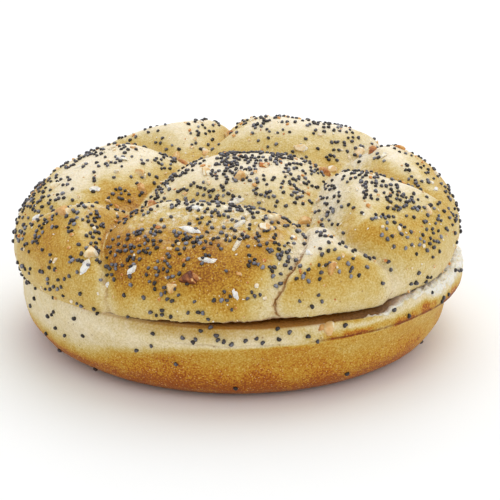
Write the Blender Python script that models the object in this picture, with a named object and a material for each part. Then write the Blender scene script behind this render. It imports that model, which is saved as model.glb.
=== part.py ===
"""Sliced burger bun with a plaited crown, poppy seeds and buckwheat chips.

Two solids: the heel, baked flat in a tin, and the crown that rests on it. The slit
between them closes at the left and opens to the right. Toppings are fused to the
solid that they lie on. Metres, +Z up, origin at the middle of the base, and the
front of the bun is towards -Y. A turn is an angle seen from above, in degrees from
the front towards +X. A rise is the share of the way up a skin, from 0 to 1.
"""

import math

import bmesh
import bpy
import numpy as np
from mathutils import Matrix, Vector, noise

MM = 0.001

# Heel: a tin-baked foot, the tin's rim line, and a pale band up to the cut
FOOT_FLAT_RADIUS = 39.6 * MM
FOOT_RADIUS = 49.4 * MM
FOOT_ROUND_HEIGHT = 10.0 * MM
RIM_RADIUS = 51.3 * MM
RIM_HEIGHT = 14.9 * MM
UNDER_RIM_DROP = 0.7 * MM
BAND_RADIUS = 51.2 * MM
BAND_SHOULDER = 0.6 * MM
HEEL_CUT_HEIGHT = 21.6 * MM
HEEL_CUT_CLIMB_BACK = 2.6
HEEL_CUT_CLIMB_RIGHT = 1.45
HEEL_CUT_ROUNDING = 0.5 * MM

# On the right the band stands out as a flange with a torn bevel; on the left the side is smooth
FLANGE_TURN = 85.0
FLANGE_SPREAD = 60.0
FLANGE_FOOT_INSET = 0.5 * MM
FLANGE_REACH = 1.3 * MM
FLANGE_RIM_REACH = 1.0 * MM
FLANGE_UNDERCUT = 1.3 * MM
FLANGE_BEVEL = 2.9 * MM
FLANGE_DROP_SHARE = 0.52
SMOOTH_SIDE_TURN = -85.0
SMOOTH_SIDE_SPREAD = 50.0
SMOOTH_FOOT_SWELL = 1.1 * MM
SMOOTH_RIM_INSET = 0.7 * MM

# Crown: a flattened dome in its own frame, with its cut face at height zero
CROWN_RADIUS = 52.0 * MM
CROWN_LIP_INSET = 0.9 * MM
CROWN_WIDEST_HEIGHT = 3.0 * MM
DOME_HEIGHT = 17.6 * MM
DOME_POWER_OUT = 2.7
DOME_POWER_UP = 1.92
SIDE_SHARE = 0.14
CROWN_PLACE = (-0.5 * MM, 0.5 * MM, 22.2 * MM)
CROWN_CLIMB_RIGHT = 1.65
CROWN_CLIMB_BACK = 2.6

# Plait: four creases cross at four corners and part the crown into nine lobes
CORNERS = ((33.0, 30.3 * MM), (108.6, 26.4 * MM), (209.5, 19.6 * MM), (302.4, 26.9 * MM))
CREASE_CORNERS = ((3, 0), (0, 1), (1, 2), (2, 3))
CREASE_ENDS = ((-75.0, 44.7), (5.0, 133.0), (72.5, 227.5), (181.0, 331.6))
CREASE_BOWS = ((-1.0, -6.3), (-3.7, -2.7), (4.2, -0.3), (3.0, -4.0))
CREASE_OVERRUN = 1.06
CREASE_STEPS = 14
CREASE_DEPTH_INNER = 7.3 * MM
CREASE_DEPTH_OUTER = 1.4 * MM
CREASE_WIDTH_INNER = 14.0 * MM
CREASE_WIDTH_OUTER = 4.0 * MM
CREASE_FADE_RADII = (26.5 * MM, 52.0 * MM)
CORNER_DIP = 1.2 * MM
CORNER_DIP_RADIUS = 5.0 * MM
LIP_CREASE_SHARE = 0.5
CENTRE_SWELL = -2.3 * MM
SIDE_SWELLS = (-0.4 * MM, 2.1 * MM, 0.4 * MM, -0.9 * MM)
CORNER_SWELLS = (0.3 * MM, 0.3 * MM, 0.3 * MM, 1.1 * MM)
LUMP_HEIGHT = 0.45 * MM
LUMP_LENGTH = 14.0 * MM

# Toppings: length, width and thickness of a piece, and how many are scattered on each solid
TOPPING_SIZES = {
    "groat": (3.8 * MM, 2.6 * MM, 2.2 * MM),
    "flake": (4.6 * MM, 2.0 * MM, 1.0 * MM),
    "crumb": (2.2 * MM, 1.6 * MM, 1.2 * MM),
    "poppy": (1.35 * MM, 1.1 * MM, 0.95 * MM),
}
CROWN_COUNTS = {"groat": 6, "flake": 8, "crumb": 8, "poppy": 140}
HEEL_COUNTS = {"poppy": 20}
SUNK_SHARE = 0.12
TOPPING_GAP = 0.5 * MM

# The chips that stand out most, at the turn and rise of each
CROWN_MARKS = {
    "groat": ((-59, 0.51), (-39, 0.39), (-15, 0.29), (-35, 0.71), (-74, 0.82), (-40, 0.94),
              (-178, 0.63), (98, 0.83), (110, 0.65), (34, 0.75), (-139, 0.85), (8, 0.93), (-11, 0.35)),
    "flake": ((-14, 0.60), (-7, 0.45), (-38, 0.31), (-26, 0.36), (0, 0.26), (-32, 0.26),
              (-15, 0.71), (1, 0.87), (20, 0.46), (80, 0.44), (-74, 0.68), (-74, 0.41)),
    "crumb": ((51, 0.95), (10, 0.61), (132, 0.83), (121, 0.64), (61, 0.41), (-162, 0.80),
              (113, 0.78), (110, 0.53)),
}
HEEL_MARKS = {"crumb": ((21, 0.4),)}

# Mesh of the two cores
CROWN_COLUMNS = 160
CROWN_ROWS = 52
CROWN_KEPT_SHARE = 0.23
HEEL_COLUMNS = 60


def smooth_step(value, low, high):
    """0 below low, 1 above high, and a smooth rise between them."""
    share = np.clip((value - low) / (high - low), 0.0, 1.0)
    return share * share * (3.0 - 2.0 * share)


def on_plan(turn, radius):
    """(x, y) of a turn in degrees and a radius."""
    angle = np.radians(turn)
    return np.stack([radius * np.sin(angle), -radius * np.cos(angle)], axis=-1)


def turn_hump(turn, centre, spread):
    """1 at the turn called centre and 0 from spread degrees away, smooth between them."""
    away = np.abs((turn - centre + 180.0) % 360.0 - 180.0)
    return 1.0 - smooth_step(away, 0.0, spread)


def lumps(points, length, offset):
    """Soft noise from -1 to 1 with humps about length wide, at each point."""
    return np.array([noise.noise(Vector(p) / length + Vector((offset, 0.0, 0.0))) for p in points])


def bowed_middle(start, end, bow):
    """The middle of a run, moved bow millimetres to the left of its direction."""
    along = (end - start) / np.linalg.norm(end - start)
    return (start + end) / 2 + np.array([-along[1], along[0]]) * bow * MM


def crease_line(ends, bows, corners):
    """One crease in plan: a smooth curve from the crown's edge through two corners to the edge."""
    start, end = (on_plan(turn, CROWN_RADIUS * CREASE_OVERRUN) for turn in ends)
    first, second = (on_plan(*CORNERS[c]) for c in corners)
    middles = bowed_middle(start, first, bows[0]), bowed_middle(second, end, bows[1])
    knots = [start, middles[0], first, second, middles[1], end]
    knots = [2 * knots[0] - knots[1]] + knots + [2 * knots[-1] - knots[-2]]
    line = []
    for a, b, c, d in zip(knots, knots[1:], knots[2:], knots[3:]):
        for t in np.arange(CREASE_STEPS) / CREASE_STEPS:
            bend = (2 * a - 5 * b + 4 * c - d) * t**2 + (3 * b - a - 3 * c + d) * t**3
            line.append(0.5 * (2 * b + (c - a) * t + bend))
    return np.array(line + [end])


CREASES = [crease_line(*parts) for parts in zip(CREASE_ENDS, CREASE_BOWS, CREASE_CORNERS)]


def signed_distance(plan, line):
    """Distance of each plan point from a crease, positive on the side away from the crown's middle."""
    best = np.full(len(plan), np.inf)
    side = np.zeros(len(plan))
    for a, b in zip(line, line[1:]):
        along = b - a
        share = np.clip(((plan - a) @ along) / (along @ along), 0.0, 1.0)
        gap = plan - (a + share[:, None] * along)
        away = np.hypot(gap[:, 0], gap[:, 1])
        nearer = away < best
        best[nearer] = away[nearer]
        side[nearer] = (along[1] * gap[:, 0] - along[0] * gap[:, 1])[nearer]
    return best * np.sign(side)


def lobe_swell(outside):
    """How far each lobe rises over the plain dome, from the creases that it lies outside of."""
    count = sum(side.astype(int) for side in outside)
    swell = np.where(count == 0, CENTRE_SWELL, 0.0)
    for side in range(4):
        following = (side + 1) % 4
        swell = np.where((count == 1) & outside[side], SIDE_SWELLS[side], swell)
        swell = np.where((count == 2) & outside[side] & outside[following], CORNER_SWELLS[side], swell)
    return swell


def crease_fall(plan, low):
    """How far the skin lies below the plain dome. low is 1 at the lip and 0 above the side."""
    radius = np.hypot(plan[:, 0], plan[:, 1])
    outward = smooth_step(radius, *CREASE_FADE_RADII)
    depth = CREASE_DEPTH_INNER + (CREASE_DEPTH_OUTER - CREASE_DEPTH_INNER) * outward
    width = CREASE_WIDTH_INNER + (CREASE_WIDTH_OUTER - CREASE_WIDTH_INNER) * outward
    depth = depth * (1.0 - (1.0 - LIP_CREASE_SHARE) * low)
    level = np.ones(len(plan))
    outside = []
    for line in CREASES:
        away = signed_distance(plan, line)
        level *= 1.0 - (1.0 - np.clip(np.abs(away) / width, 0.0, 1.0)) ** 2
        outside.append(away > 0)
    fall = depth * (1.0 - level) - lobe_swell(outside) * level * (1.0 - low)
    for turn, reach in CORNERS:
        gap = plan - on_plan(turn, reach)
        fall += CORNER_DIP * np.exp(-(gap[:, 0] ** 2 + gap[:, 1] ** 2) / CORNER_DIP_RADIUS**2)
    return fall


def dome(rise, turn):
    """Points and outward normals of the plain dome."""
    below = np.clip(1.0 - rise / SIDE_SHARE, 0.0, 1.0)
    angle = np.clip((rise - SIDE_SHARE) / (1.0 - SIDE_SHARE), 0.0, 1.0) * math.pi / 2
    out = np.maximum(np.cos(angle), 1e-6) ** (2.0 / DOME_POWER_OUT)
    up = np.maximum(np.sin(angle), 1e-6) ** (2.0 / DOME_POWER_UP)
    plan = on_plan(turn, CROWN_RADIUS * out - CROWN_LIP_INSET * below**2)
    height = CROWN_WIDEST_HEIGHT * (1.0 - below) + DOME_HEIGHT * up
    flat = on_plan(turn, out ** (DOME_POWER_OUT - 1.0) / CROWN_RADIUS)
    upward = up ** (DOME_POWER_UP - 1.0) / DOME_HEIGHT
    normals = np.stack([flat[:, 0], flat[:, 1], upward], axis=-1)
    normals /= np.linalg.norm(normals, axis=1)[:, None]
    return np.stack([plan[:, 0], plan[:, 1], height], axis=-1), normals


def crown_skin(rise, turn):
    """Points of the crown's outer skin, in the crown's own frame."""
    points, normals = dome(rise, turn)
    low = 1.0 - smooth_step(points[:, 2], 0.0, 9.0 * MM)
    fall = crease_fall(points[:, :2], low)
    fall -= LUMP_HEIGHT * lumps(points, LUMP_LENGTH, 3.0) * (1.0 - 0.7 * low)
    inward = normals * fall[:, None]
    inward[:, 2] *= smooth_step(points[:, 2], 0.0, 3.0 * MM)
    return points - inward


def heel_stations(turn):
    """(radius, height) stations of the heel's side at each turn, from the foot to the cut face."""
    flange = turn_hump(turn, FLANGE_TURN, FLANGE_SPREAD)
    smooth = turn_hump(turn, SMOOTH_SIDE_TURN, SMOOTH_SIDE_SPREAD)
    x, y = on_plan(turn, BAND_RADIUS).T
    cut = HEEL_CUT_HEIGHT + x * math.radians(HEEL_CUT_CLIMB_RIGHT) + y * math.radians(HEEL_CUT_CLIMB_BACK)
    foot = FOOT_RADIUS + SMOOTH_FOOT_SWELL * smooth - FLANGE_FOOT_INSET * flange
    stations = []
    for share in (0.0, 0.25, 0.5, 0.75, 1.0):
        angle = share * math.pi / 2
        out = FOOT_FLAT_RADIUS + (foot - FOOT_FLAT_RADIUS) * math.sin(angle)
        stations.append((out, np.full_like(turn, FOOT_ROUND_HEIGHT * (1.0 - math.cos(angle)))))
    rim = RIM_RADIUS - SMOOTH_RIM_INSET * smooth + FLANGE_RIM_REACH * flange
    under = rim - 0.1 * MM - FLANGE_UNDERCUT * flange
    under_height = RIM_HEIGHT - UNDER_RIM_DROP
    stations.append(((foot + under) / 2, np.full_like(turn, (FOOT_ROUND_HEIGHT + under_height) / 2)))
    stations.append((under, np.full_like(turn, under_height)))
    stations.append((rim, np.full_like(turn, RIM_HEIGHT)))
    side = (cut - HEEL_CUT_ROUNDING - RIM_HEIGHT) * (1.0 - FLANGE_DROP_SHARE * flange)
    band = BAND_RADIUS + FLANGE_REACH * flange
    shoulder = BAND_SHOULDER * (1.0 - smooth)
    stations.append((band - SMOOTH_RIM_INSET * smooth / 2, RIM_HEIGHT + 0.35 * side))
    stations.append((band - 0.3 * shoulder, RIM_HEIGHT + 0.72 * side))
    stations.append((band - shoulder, RIM_HEIGHT + side))
    stations.append((band - shoulder - HEEL_CUT_ROUNDING - FLANGE_BEVEL * flange, cut))
    return stations


def heel_band(rise, turn):
    """Points of the heel's pale band, between the rim line and the cut."""
    lower, upper = heel_stations(turn)[8:10]
    radius = lower[0] + (upper[0] - lower[0]) * rise
    height = lower[1] + (upper[1] - lower[1]) * rise
    plan = on_plan(turn, radius)
    return np.stack([plan[:, 0], plan[:, 1], height], axis=-1)


def add_ring(mesh, points):
    """A ring of vertices at the points."""
    return [mesh.verts.new(point) for point in points]


def skin_rings(mesh, rings, low_middle, high_middle):
    """Faces from ring to ring, closed by a fan at each end."""
    for lower, upper in zip(rings, rings[1:]):
        for i in range(len(lower)):
            j = (i + 1) % len(lower)
            mesh.faces.new((lower[i], lower[j], upper[j], upper[i]))
    for ring, middle, step in ((rings[0], low_middle, -1), (rings[-1], high_middle, 1)):
        hub = mesh.verts.new(middle)
        ordered = ring[::step]
        for first, second in zip(ordered, ordered[1:] + ordered[:1]):
            mesh.faces.new((first, second, hub))


def crown_core():
    """The crown without its toppings, in its own frame."""
    mesh = bmesh.new()
    turns = np.arange(CROWN_COLUMNS) * 360.0 / CROWN_COLUMNS
    rings = []
    for row in range(CROWN_ROWS):
        rise = np.full(CROWN_COLUMNS, row / CROWN_ROWS)
        rings.append(add_ring(mesh, crown_skin(rise, turns)))
    top = crown_skin(np.array([1.0]), np.array([0.0]))[0]
    skin_rings(mesh, rings, (0.0, 0.0, 0.0), top)
    return mesh


def heel_core():
    """The heel without its toppings."""
    mesh = bmesh.new()
    turns = np.arange(HEEL_COLUMNS) * 360.0 / HEEL_COLUMNS
    rings = []
    for radius, height in heel_stations(turns):
        plan = on_plan(turns, radius)
        rings.append(add_ring(mesh, np.stack([plan[:, 0], plan[:, 1], height], axis=-1)))
    skin_rings(mesh, rings, (0.0, 0.0, 0.0), (0.0, 0.0, HEEL_CUT_HEIGHT))
    return mesh


def skin_frames(skin, rise, turn):
    """Points, outward normals and area shares of a skin."""
    along = skin(rise, turn + 1.0) - skin(rise, turn - 1.0)
    up = skin(rise + 0.006, turn) - skin(rise - 0.006, turn)
    crossed = np.cross(along, up)
    area = np.linalg.norm(crossed, axis=1)
    return skin(rise, turn), crossed / area[:, None], area / area.max()


def marked(skin, marks, gap, taken):
    """Places at a list of turns and rises."""
    turn, rise = np.array(marks, dtype=float).T
    points, normals, _ = skin_frames(skin, rise, turn)
    taken.extend((point, gap) for point in points)
    return list(zip(points, normals))


def scatter(skin, count, gap, reach, facing, taken, rng):
    """Places for count pieces: random, even over the skin's area, and gap clear of those taken."""
    pool = count * 30 + 200
    rise = reach[0] + (reach[1] - reach[0]) * rng.random(pool)
    turn = 360.0 * rng.random(pool)
    chance = rng.random(pool)
    points, normals, area = skin_frames(skin, rise, turn)
    liked = 0.12 + 0.88 * smooth_step(normals[:, 2], *facing)
    placed = []
    for point, normal, lucky in zip(points, normals, chance < area * liked):
        if lucky and all(np.linalg.norm(point - p) > gap + g for p, g in taken):
            taken.append((point, gap))
            placed.append((point, normal))
        if len(placed) == count:
            break
    return placed


def topping_places(skin, marks, counts, reach, facing, rng):
    """Places of each kind of topping: first those with a mark, then the scattered ones."""
    gaps = {kind: size[0] / 2 + TOPPING_GAP / 2 for kind, size in TOPPING_SIZES.items()}
    taken = []
    places = {kind: marked(skin, marks[kind], gaps[kind], taken) for kind in marks}
    for kind, count in counts.items():
        found = scatter(skin, count, gaps[kind], reach, facing, taken, rng)
        places[kind] = places.get(kind, []) + found
    return places


def blob_mesh(name, size, ruggedness, material, rng):
    """A faceted pebble of the given length, width and thickness."""
    mesh = bmesh.new()
    bmesh.ops.create_icosphere(mesh, subdivisions=1, radius=0.5)
    for vertex in mesh.verts:
        vertex.co *= 1.0 + ruggedness * (rng.random() - 0.5)
        vertex.co = Vector(c * s for c, s in zip(vertex.co, size))
    data = bpy.data.meshes.new(name)
    mesh.to_mesh(data)
    mesh.free()
    data.materials.append(material)
    return data


def lay_piece(data, place, thickness, matrix, collection, rng):
    """One piece of topping, partly sunk, with its flat side along the skin and a random spin."""
    point, normal = (Vector(v) for v in place)
    leaning = (normal + 0.25 * Vector(rng.random(3) - 0.5)).normalized()
    spin = Matrix.Rotation(rng.random() * 2 * math.pi, 4, "Z")
    turned = leaning.to_track_quat("Z", "Y").to_matrix().to_4x4() @ spin
    piece = bpy.data.objects.new(data.name, data)
    piece.matrix_world = matrix @ Matrix.Translation(point + normal * thickness * SUNK_SHARE) @ turned
    collection.objects.link(piece)


def fuse(core, pieces):
    """Join a collection of pieces to the core by one Boolean union, and remove the pieces."""
    union = core.modifiers.new("toppings", "BOOLEAN")
    union.operation = "UNION"
    union.operand_type = "COLLECTION"
    union.collection = pieces
    union.solver = "EXACT"
    apply_modifiers(core)
    for piece in list(pieces.objects):
        bpy.data.objects.remove(piece, do_unlink=True)
    bpy.data.collections.remove(pieces)


def apply_modifiers(item):
    """Replace an object's mesh by what its modifiers make of it."""
    bpy.context.view_layer.update()
    graph = bpy.context.evaluated_depsgraph_get()
    made = bpy.data.meshes.new_from_object(item.evaluated_get(graph))
    item.modifiers.clear()
    item.data = made


def thin_out(item, share):
    """Keep a share of the object's triangles, most of them where it bends."""
    thinner = item.modifiers.new("thinner", "DECIMATE")
    thinner.ratio = share
    apply_modifiers(item)


def new_object(name, mesh, material):
    """A scene object from a bmesh."""
    data = bpy.data.meshes.new(name)
    mesh.to_mesh(data)
    mesh.free()
    data.materials.append(material)
    made = bpy.data.objects.new(name, data)
    bpy.context.scene.collection.objects.link(made)
    return made


def make_material(name, colour, roughness):
    """A Principled material of one colour."""
    material = bpy.data.materials.new(name)
    material.use_nodes = True
    shader = material.node_tree.nodes["Principled BSDF"]
    shader.inputs["Base Color"].default_value = (*colour, 1.0)
    shader.inputs["Roughness"].default_value = roughness
    shader.inputs["Metallic"].default_value = 0.0
    return material


def crown_matrix():
    """Where the crown sits, climbing a little to the right and to the back."""
    roll = Matrix.Rotation(math.radians(-CROWN_CLIMB_RIGHT), 4, "Y")
    pitch = Matrix.Rotation(math.radians(CROWN_CLIMB_BACK), 4, "X")
    return Matrix.Translation(CROWN_PLACE) @ pitch @ roll


def new_collection(name):
    """A collection in the scene."""
    made = bpy.data.collections.new(name)
    bpy.context.scene.collection.children.link(made)
    return made


def add_toppings(core, places, matrix, materials, rng):
    """Lay toppings at their places and fuse them to the core."""
    pieces = new_collection(core.name + "_toppings")
    for kind, found in places.items():
        size = TOPPING_SIZES[kind]
        data = blob_mesh(kind, size, 0.25, materials[kind], rng)
        for place in found:
            lay_piece(data, place, size[2], matrix, pieces, rng)
    fuse(core, pieces)


def make_crown(materials):
    """The crown with its chips, flakes, crumbs and seeds."""
    crown = new_object("crown", crown_core(), materials["crust"])
    thin_out(crown, CROWN_KEPT_SHARE)
    matrix = crown_matrix()
    crown.matrix_world = matrix
    rng = np.random.default_rng(7)
    places = topping_places(crown_skin, CROWN_MARKS, CROWN_COUNTS, (0.16, 0.97), (0.2, 0.8), rng)
    add_toppings(crown, places, matrix, materials, rng)
    return crown


def make_heel(materials):
    """The heel with the few pieces that stick to its pale band."""
    heel = new_object("heel", heel_core(), materials["tin_crust"])
    rng = np.random.default_rng(11)
    places = topping_places(heel_band, HEEL_MARKS, HEEL_COUNTS, (0.05, 0.7), (-1.0, 0.0), rng)
    add_toppings(heel, places, Matrix(), materials, rng)
    return heel


def main():
    for old in list(bpy.data.objects):
        bpy.data.objects.remove(old, do_unlink=True)
    materials = {
        "crust": make_material("crown_crust", (0.62, 0.40, 0.14), 0.6),
        "tin_crust": make_material("heel_crust", (0.50, 0.27, 0.08), 0.65),
        "poppy": make_material("poppy_seed", (0.035, 0.04, 0.06), 0.6),
        "flake": make_material("white_flake", (0.85, 0.80, 0.70), 0.6),
        "groat": make_material("buckwheat_groat", (0.65, 0.36, 0.15), 0.55),
        "crumb": make_material("seed_crumb", (0.75, 0.60, 0.38), 0.6),
    }
    for item in (make_crown(materials), make_heel(materials)):
        item.data.shade_smooth()
        item.data.set_sharp_from_angle(angle=math.radians(50))


main()
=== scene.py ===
"""Looks of a sliced burger bun with a plaited crown, poppy seeds and buckwheat chips.

The skins follow the same rules as the solids that they replace, with finer relief.
Metres, +Z up, and the front of the bun is towards -Y. A turn is an angle seen from
above, in degrees from the front towards +X. A rise is the share of the way up a skin.
"""

import itertools
import math

import bmesh
import bpy
import numpy as np
from mathutils import Matrix, Vector, noise


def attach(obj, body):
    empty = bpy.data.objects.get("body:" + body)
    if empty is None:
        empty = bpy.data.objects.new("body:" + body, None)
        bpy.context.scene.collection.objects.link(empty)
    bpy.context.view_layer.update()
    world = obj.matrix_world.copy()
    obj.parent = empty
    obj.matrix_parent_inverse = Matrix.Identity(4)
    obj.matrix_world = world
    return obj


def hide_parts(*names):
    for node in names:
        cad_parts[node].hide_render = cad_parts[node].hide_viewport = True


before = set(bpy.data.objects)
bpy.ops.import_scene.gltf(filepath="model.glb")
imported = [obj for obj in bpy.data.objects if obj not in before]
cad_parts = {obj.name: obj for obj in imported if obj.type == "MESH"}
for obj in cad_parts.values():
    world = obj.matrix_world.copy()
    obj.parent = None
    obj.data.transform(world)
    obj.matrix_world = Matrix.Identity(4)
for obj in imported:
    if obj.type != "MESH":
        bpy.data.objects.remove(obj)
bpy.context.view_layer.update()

MM = 0.001

# Camera, from the photograph's outline: where it stands, and the pixel that the origin falls on
CAMERA_DISTANCE = 380.0 * MM
CAMERA_ELEVATION = 22.2
PIXELS_PER_MM = 4.17
ORIGIN_PIXEL = (237.78, 320.14)
PICTURE_PIXELS = 500.0
SENSOR_WIDTH = 36.0

# Heel
FOOT_FLAT_RADIUS = 39.6 * MM
FOOT_RADIUS = 49.4 * MM
FOOT_ROUND_HEIGHT = 10.0 * MM
RIM_RADIUS = 51.3 * MM
RIM_HEIGHT = 14.9 * MM
UNDER_RIM_DROP = 0.7 * MM
UNDER_RIM_INSET = 0.1 * MM
BAND_RADIUS = 51.2 * MM
BAND_SHOULDER = 0.6 * MM
BAND_SHARES = (0.35, 0.72)
HEEL_CUT_HEIGHT = 21.6 * MM
HEEL_CUT_CLIMB_BACK = 2.6
HEEL_CUT_CLIMB_RIGHT = 1.45
HEEL_CUT_ROUNDING = 0.5 * MM

# On the right the band stands out as a flange with a torn bevel; on the left the side is smooth
FLANGE_TURN = 85.0
FLANGE_SPREAD = 60.0
FLANGE_FOOT_INSET = 0.5 * MM
FLANGE_REACH = 1.3 * MM
FLANGE_RIM_REACH = 1.0 * MM
FLANGE_UNDERCUT = 1.3 * MM
FLANGE_BEVEL = 2.9 * MM
FLANGE_DROP_SHARE = 0.52
SMOOTH_SIDE_TURN = -85.0
SMOOTH_SIDE_SPREAD = 50.0
SMOOTH_FOOT_SWELL = 1.1 * MM
SMOOTH_RIM_INSET = 0.7 * MM

# Crown, in its own frame, with its cut face at height zero
CROWN_RADIUS = 52.0 * MM
CROWN_LIP_INSET = 0.9 * MM
CROWN_WIDEST_HEIGHT = 3.0 * MM
DOME_HEIGHT = 17.6 * MM
DOME_POWER_OUT = 2.7
DOME_POWER_UP = 1.92
SIDE_SHARE = 0.14
CROWN_PLACE = (-0.5 * MM, 0.5 * MM, 22.2 * MM)
CROWN_CLIMB_RIGHT = 1.65
CROWN_CLIMB_BACK = 2.6

# Plait: four creases part the crown into nine lobes
CORNERS = ((33.0, 30.3 * MM), (108.6, 26.4 * MM), (209.5, 19.6 * MM), (302.4, 26.9 * MM))
CREASE_CORNERS = ((3, 0), (0, 1), (1, 2), (2, 3))
CREASE_ENDS = ((-75.0, 44.7), (5.0, 133.0), (72.5, 227.5), (181.0, 331.6))
CREASE_BOWS = ((-1.0, -6.3), (-3.7, -2.7), (4.2, -0.3), (3.0, -4.0))
CREASE_OVERRUN = 1.06
CREASE_STEPS = 14
CREASE_DEPTH_INNER = 7.3 * MM
CREASE_DEPTH_OUTER = 1.4 * MM
CREASE_WIDTH_INNER = 14.0 * MM
CREASE_WIDTH_OUTER = 4.0 * MM
CREASE_FADE_RADII = (26.5 * MM, 52.0 * MM)
CORNER_DIP = 1.2 * MM
CORNER_DIP_RADIUS = 5.0 * MM
LIP_CREASE_SHARE = 0.5
LUMP_HEIGHT = 0.45 * MM
LUMP_LENGTH = 14.0 * MM

# Chips, as in the solids: sizes, counts of the random ones, the gap between any two, and the rises and slopes
# that the random ones lie on
TOPPING_SIZES = {
    "groat": (3.8 * MM, 2.6 * MM, 2.2 * MM),
    "flake": (4.6 * MM, 2.0 * MM, 1.0 * MM),
    "crumb": (2.2 * MM, 1.6 * MM, 1.2 * MM),
}
CROWN_COUNTS = {"groat": 6, "flake": 8, "crumb": 8}
TOPPING_GAP = 0.5 * MM
TOPPING_REACH = (0.16, 0.97)
TOPPING_FACING = (0.2, 0.8)

# Chips that stand out: turn, rise, length and width in mm, spin in degrees, tone from pale to dark
CROWN_MARKS = {
    "groat": (
        (-59, 0.51, 4.2, 2.3, 20, 0.55), (-39, 0.39, 2.9, 2.6, 0, 0.25), (-15, 0.29, 2.2, 2.0, 70, 0.45),
        (-35, 0.71, 2.6, 2.1, 10, 0.8), (-74, 0.82, 3.0, 1.9, 80, 0.5), (-40, 0.94, 3.4, 2.0, -10, 0.35),
        (-178, 0.63, 2.6, 2.3, 0, 0.75), (98, 0.83, 3.0, 2.2, 90, 0.7), (110, 0.65, 3.4, 2.1, 0, 0.7),
        (34, 0.75, 3.0, 2.4, 0, 0.45), (-139, 0.85, 2.8, 1.6, 20, 0.7), (8, 0.93, 2.8, 2.6, 40, 0.45),
        (-11, 0.35, 3.7, 2.9, 4, 0.96),
    ),
    "flake": (
        (-14, 0.60, 4.8, 1.8, -8, 0.1), (-7, 0.45, 3.6, 1.6, -6, 0.2), (-38, 0.31, 3.8, 1.9, 82, 0.15),
        (-26, 0.36, 2.6, 1.5, 62, 0.1), (0, 0.26, 2.5, 1.3, -58, 0.05), (-32, 0.26, 1.6, 1.0, 60, 0.1),
        (-15, 0.71, 3.1, 2.0, 0, 0.15), (1, 0.87, 3.4, 1.9, 24, 0.2), (20, 0.46, 2.3, 1.3, -10, 0.1),
        (80, 0.44, 2.2, 1.3, 0, 0.1), (-74, 0.68, 2.6, 1.8, 0, 0.15), (-74, 0.41, 2.3, 2.1, 80, 0.1),
    ),
    "crumb": (
        (51, 0.95, 2.7, 2.1, 0, 0.75), (10, 0.61, 2.8, 2.1, -15, 0.45), (132, 0.83, 2.8, 2.0, 0, 0.3),
        (121, 0.64, 3.0, 2.2, 30, 0.3), (61, 0.41, 2.6, 1.2, 60, 0.3), (-162, 0.80, 2.4, 2.0, 60, 0.35),
        (113, 0.78, 2.4, 1.7, 0, 0.35), (110, 0.53, 2.6, 1.8, 20, 0.6),
    ),
}
HEEL_MARKS = ((21.5, 0.62, 2.8, 2.4, 70, 0.42), (19.8, 0.85, 1.6, 1.2, 20, 0.65))

# The slit: how far the crown's lip lifts or sinks at each turn, in mm, and how far it tucks in where shut
LIP_LIFTS = (
    (-180, -0.2), (-140, -0.8), (-110, -2.6), (-85, -3.6), (-67, -3.0), (-57, -2.2), (-48, -1.9),
    (-41, -1.5), (-35, -1.3), (-29, -0.8), (-20, -0.1), (-8, 0.2), (0, 0.45), (10, 0.6), (18, -0.1),
    (23, -0.6), (30, -1.2), (38, -2.0), (43, -1.3), (50, -1.6), (57, -2.3), (66, -2.8), (80, -2.4),
    (110, -1.2), (150, -0.3), (180, -0.2),
)
LIP_TUCK = 0.5

# How far the heel sinks at each turn, in mm: at its cut edge, at the shoulder below it and at its rim
CUT_DROPS = (
    (-10, 0.0), (0, 0.3), (8, 0.6), (18, 1.0), (25, 1.5), (31, 2.3), (38, 2.7), (41, 1.8), (44, 0.8),
    (50, 1.1), (60, 1.85), (66, 2.1), (80, 1.75), (110, 0.6), (150, 0.1), (180, 0.0),
)
SHOULDER_DROPS = (
    (-10, 0.0), (0, 0.2), (8, 0.4), (18, 0.7), (25, 1.05), (31, 1.6), (38, 1.8), (41, 1.1), (44, 0.3),
    (50, -0.2), (60, -0.5), (70, -0.9), (80, -1.3), (100, -0.9), (130, -0.2), (150, 0.0),
)
RIM_DROPS = ((27, 0.0), (38, 0.25), (50, 0.2), (65, 0.6), (100, 0.8), (150, 0.3), (180, 0.0))
# Shares of the last two at each station of the heel's profile
SHOULDER_WEIGHTS = (0.0, 0.0, 0.0, 0.0, 0.0, 0.0, 0.0, 0.0, 0.2, 0.55, 1.0, 0.0)
RIM_WEIGHTS = (0.0, 0.0, 0.0, 0.0, 0.0, 0.4, 1.0, 1.0, 0.9, 0.7, 0.4, 0.0)

# How much of the heel's edge is torn white crumb at each turn, and how browned the lip below it is
TORN_SHARES = ((22, 0.0), (34, 0.55), (50, 0.9), (70, 1.0), (130, 1.0), (165, 0.3), (180, 0.0))
LIP_SHARES = ((-180, 0.3), (-150, 0.0), (13, 0.0), (25, 1.0), (150, 1.0), (180, 0.3))

# How deep the brown shade at the edge of the cut is at each turn
SHADE_SHARES = ((-60, 0.0), (-30, 0.5), (-5, 1.0), (36, 1.0), (46, 0.7), (60, 0.45), (90, 0.3), (130, 0.0))

# Where the tin's golden side ends in the pale band: turn, and station of the heel's profile
TIN_EDGE = (
    (-180, 5.0), (-130, 4.2), (-85, 3.9), (-60, 3.5), (-42, 3.5), (-34, 4.4), (-25, 5.2), (-15, 6.0),
    (-3, 6.7), (10, 7.0), (120, 7.0), (160, 6.0), (180, 5.0),
)

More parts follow.
